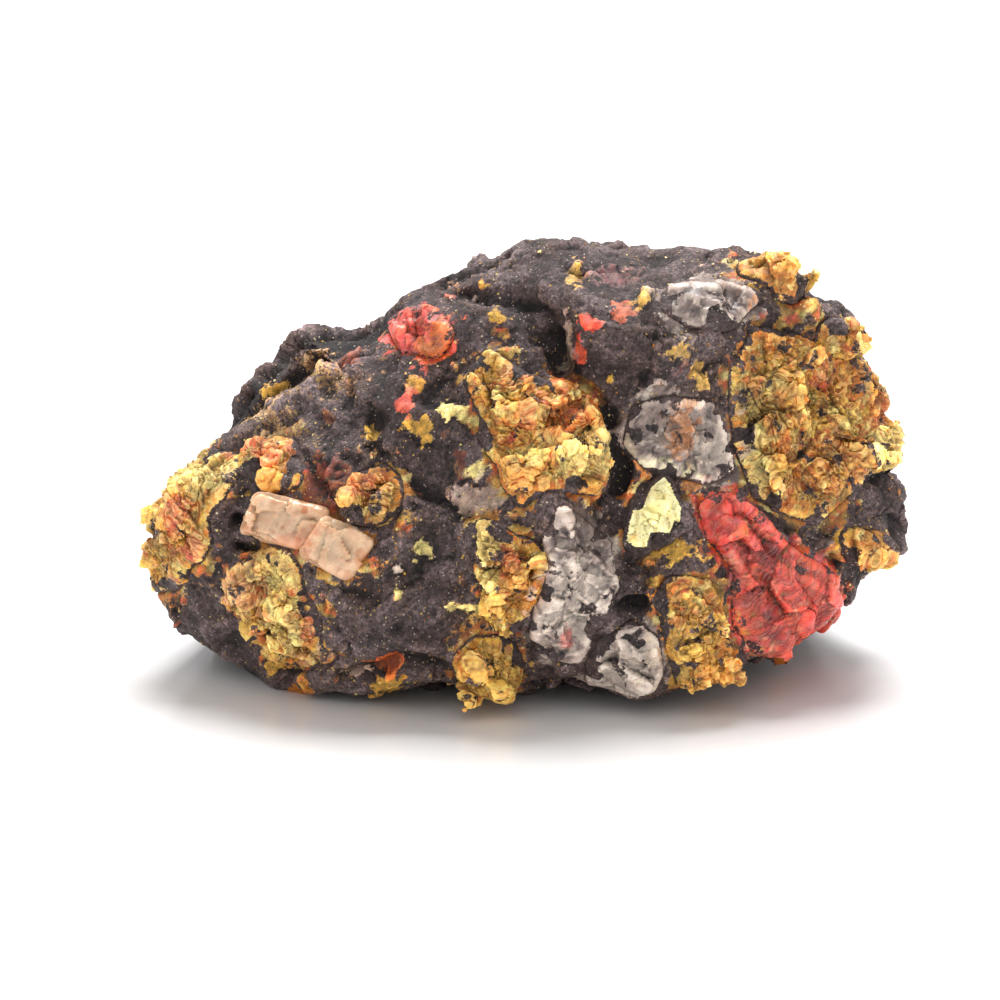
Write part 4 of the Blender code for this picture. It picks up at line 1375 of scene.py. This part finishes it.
def scatter(name, where, hosts, shapes, material, slot, **inputs):
    """A piece made of shapes scattered over hosts."""
    group = bpy.data.collections.new(f"{name}_hosts")
    for host in hosts:
        group.objects.link(bpy.data.objects[host])
    item = new_item(name, bpy.data.meshes.new(name))
    lay = item.modifiers.new("Scatter", "NODES")
    lay.node_group = scatter_tree(where)
    inputs |= {"Hosts": group, "Shapes": shapes, "Finish": material, "Seed": settings().scatter.seed}
    for socket in lay.node_group.interface.items_tree:
        if socket.in_out == "INPUT":
            lay[socket.identifier] = inputs[socket.name]
    mesh = settled(item)
    bpy.data.collections.remove(group)
    move_corners(mesh, corner_array(mesh))
    mesh.name = name
    made = new_item(name, mesh)
    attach(made, "root")
    return made


def shape_collection(make, count):
    shapes = bpy.data.collections.new("shapes")
    for index in range(count):
        make(index, shapes)
    return shapes


def clear_shapes(shapes):
    for item in list(shapes.objects):
        bpy.data.objects.remove(item)
    bpy.data.collections.remove(shapes)


# The stage

KEY_PLACE = (0.05, 0.27, 0.63)
KEY_SIZE = 0.4
FILL_PLACE = (-0.12, -0.55, 0.5)
FILL_SIZE = 0.6
SENSOR_WIDTH = 36
CAMERA_SHIFT = (-0.0225, -0.0285)
CAMERA_CLIP = 0.01


def add_area_light(name, place, size, power):
    """A square light that shines on the heart."""
    light = bpy.data.lights.new(name, "AREA")
    light.energy = power
    light.size = size
    item = new_item(name, light)
    item.location = place
    item.rotation_euler = (HEART - item.location).to_track_quat("-Z", "Y").to_euler()


def add_floor():
    own = settings().stage
    shape = bmesh.new()
    bmesh.ops.create_grid(shape, x_segments=1, y_segments=1, size=own.floor_size / 2)
    floor = new_item("floor", made_mesh(shape, "floor"))
    material, tree, shader = new_material("floor")
    shader.inputs["Base Color"].default_value = (*own.floor, 1)
    soft = remap(tree, grain(tree, FLOOR_GRAIN), 0.3, 0.7, 0.2, 0.26)
    tree.links.new(soft, shader.inputs["Roughness"])
    shader.inputs["Specular IOR Level"].default_value = 0.35
    floor.data.materials.append(material)


def add_camera():
    data = bpy.data.cameras.new("camera")
    data.lens = settings().stage.lens
    data.sensor_width = SENSOR_WIDTH
    data.shift_x, data.shift_y = CAMERA_SHIFT
    data.clip_start = CAMERA_CLIP
    camera = new_item("camera", data)
    facing = Matrix((RIGHT, UPWARD, -FORWARD)).transposed().to_4x4()
    camera.matrix_world = Matrix.Translation(EYE) @ facing
    bpy.context.scene.camera = camera


def light_world():
    """Plain white light from all round."""
    world = bpy.data.worlds.new("white")
    world.use_nodes = True
    sky = world.node_tree.nodes["Background"]
    sky.inputs["Color"].default_value = (1, 1, 1, 1)
    sky.inputs["Strength"].default_value = settings().stage.sky
    bpy.context.scene.world = world
    bpy.context.scene.view_settings.view_transform = "Standard"


# Operators


class SPECIMEN_OT_rock(Operator):
    """Builds the host rock"""

    bl_idname = "specimen.rock"
    bl_label = "Rock"

    def execute(self, context):
        build_rock()
        return {"FINISHED"}


class SPECIMEN_OT_realgar(Operator):
    """Builds the red realgar masses"""

    bl_idname = "specimen.realgar"
    bl_label = "Realgar"

    def execute(self, context):
        build_kind("realgar")
        return {"FINISHED"}


class SPECIMEN_OT_orpiment(Operator):
    """Builds the golden orpiment masses and the bright cleavage flake"""

    bl_idname = "specimen.orpiment"
    bl_label = "Orpiment"

    def execute(self, context):
        build_kind("orpiment")
        build_kind("flake")
        return {"FINISHED"}


class SPECIMEN_OT_quartz(Operator):
    """Builds the cloudy quartz"""

    bl_idname = "specimen.quartz"
    bl_label = "Quartz"

    def execute(self, context):
        build_kind("quartz")
        return {"FINISHED"}


class SPECIMEN_OT_calcite(Operator):
    """Builds the two calcite crystals"""

    bl_idname = "specimen.calcite"
    bl_label = "Calcite"

    def execute(self, context):
        build_kind("calcite")
        return {"FINISHED"}


class SPECIMEN_OT_chips(Operator):
    """Scatters cleavage chips over the orpiment and over mineral patches of the rock"""

    bl_idname = "specimen.chips"
    bl_label = "Chips"

    def execute(self, context):
        own = settings().scatter
        density = own.chips / MM**2
        material = chip_material()
        shapes = shape_collection(chip_shape, CHIP_SHAPES)
        scatter(
            "chips_on_orpiment", "flakes", [f"{node}_grown" for node in MASSES["orpiment"]], shapes,
            material, "orpiment", Density=density, Largest=own.chip_size, **CHIP_LAY,
        )
        scatter(
            "chips_on_rock", "flakes", ["rock"], shapes, material, "orpiment", Density=density,
            Largest=own.chip_size * ROCK_CHIP_SHARE, **ROCK_CHIP_LAY,
        )
        clear_shapes(shapes)
        return {"FINISHED"}


class SPECIMEN_OT_grains(Operator):
    """Scatters grains over the rock"""

    bl_idname = "specimen.grains"
    bl_label = "Grains"

    def execute(self, context):
        own = settings().scatter
        shapes = shape_collection(grain_shape, GRAIN_SHAPES)
        scatter(
            "grains", "dust", ["rock"], shapes, grain_material(), "orpiment",
            Density=own.grains / MM**2, Largest=own.grain_size, **GRAIN_LAY,
        )
        clear_shapes(shapes)
        return {"FINISHED"}


class SPECIMEN_OT_stage(Operator):
    """Sets up the floor, the lights and the camera"""

    bl_idname = "specimen.stage"
    bl_label = "Stage"

    def execute(self, context):
        own = settings().stage
        add_floor()
        light_world()
        add_area_light("key", KEY_PLACE, KEY_SIZE, own.key)
        add_area_light("fill", FILL_PLACE, FILL_SIZE, own.fill)
        add_camera()
        return {"FINISHED"}


PIECE_OPERATORS = (
    SPECIMEN_OT_rock,
    SPECIMEN_OT_realgar,
    SPECIMEN_OT_orpiment,
    SPECIMEN_OT_quartz,
    SPECIMEN_OT_calcite,
    SPECIMEN_OT_chips,
    SPECIMEN_OT_grains,
    SPECIMEN_OT_stage,
)


class SPECIMEN_PT_panel(Panel):
    """Lists the specimen's steps"""

    bl_label = "Realgar with orpiment"
    bl_idname = "SPECIMEN_PT_panel"
    bl_space_type = "VIEW_3D"
    bl_region_type = "UI"
    bl_category = "Specimen"

    def draw(self, context):
        for step in PIECE_OPERATORS:
            self.layout.operator(step.bl_idname)


CLASSES = (
    SPECIMEN_PG_colours,
    SPECIMEN_PG_rock,
    SPECIMEN_PG_minerals,
    SPECIMEN_PG_scatter,
    SPECIMEN_PG_stage,
    SPECIMEN_PG_settings,
    *PIECE_OPERATORS,
    SPECIMEN_PT_panel,
)


def register():
    for item in CLASSES:
        bpy.utils.register_class(item)
    bpy.types.Scene.specimen = PointerProperty(type=SPECIMEN_PG_settings)


def unregister():
    del bpy.types.Scene.specimen
    for item in reversed(CLASSES):
        bpy.utils.unregister_class(item)


def clear_startup():
    for name in ("Cube", "Light", "Camera"):
        item = bpy.data.objects.get(name)
        if item:
            bpy.data.objects.remove(item)


def main():
    register()
    clear_startup()
    bpy.ops.specimen.rock()
    bpy.ops.specimen.realgar()
    bpy.ops.specimen.orpiment()
    bpy.ops.specimen.quartz()
    bpy.ops.specimen.calcite()
    bpy.ops.specimen.chips()
    bpy.ops.specimen.grains()
    bpy.ops.specimen.stage()


if __name__ == "__main__":
    main()
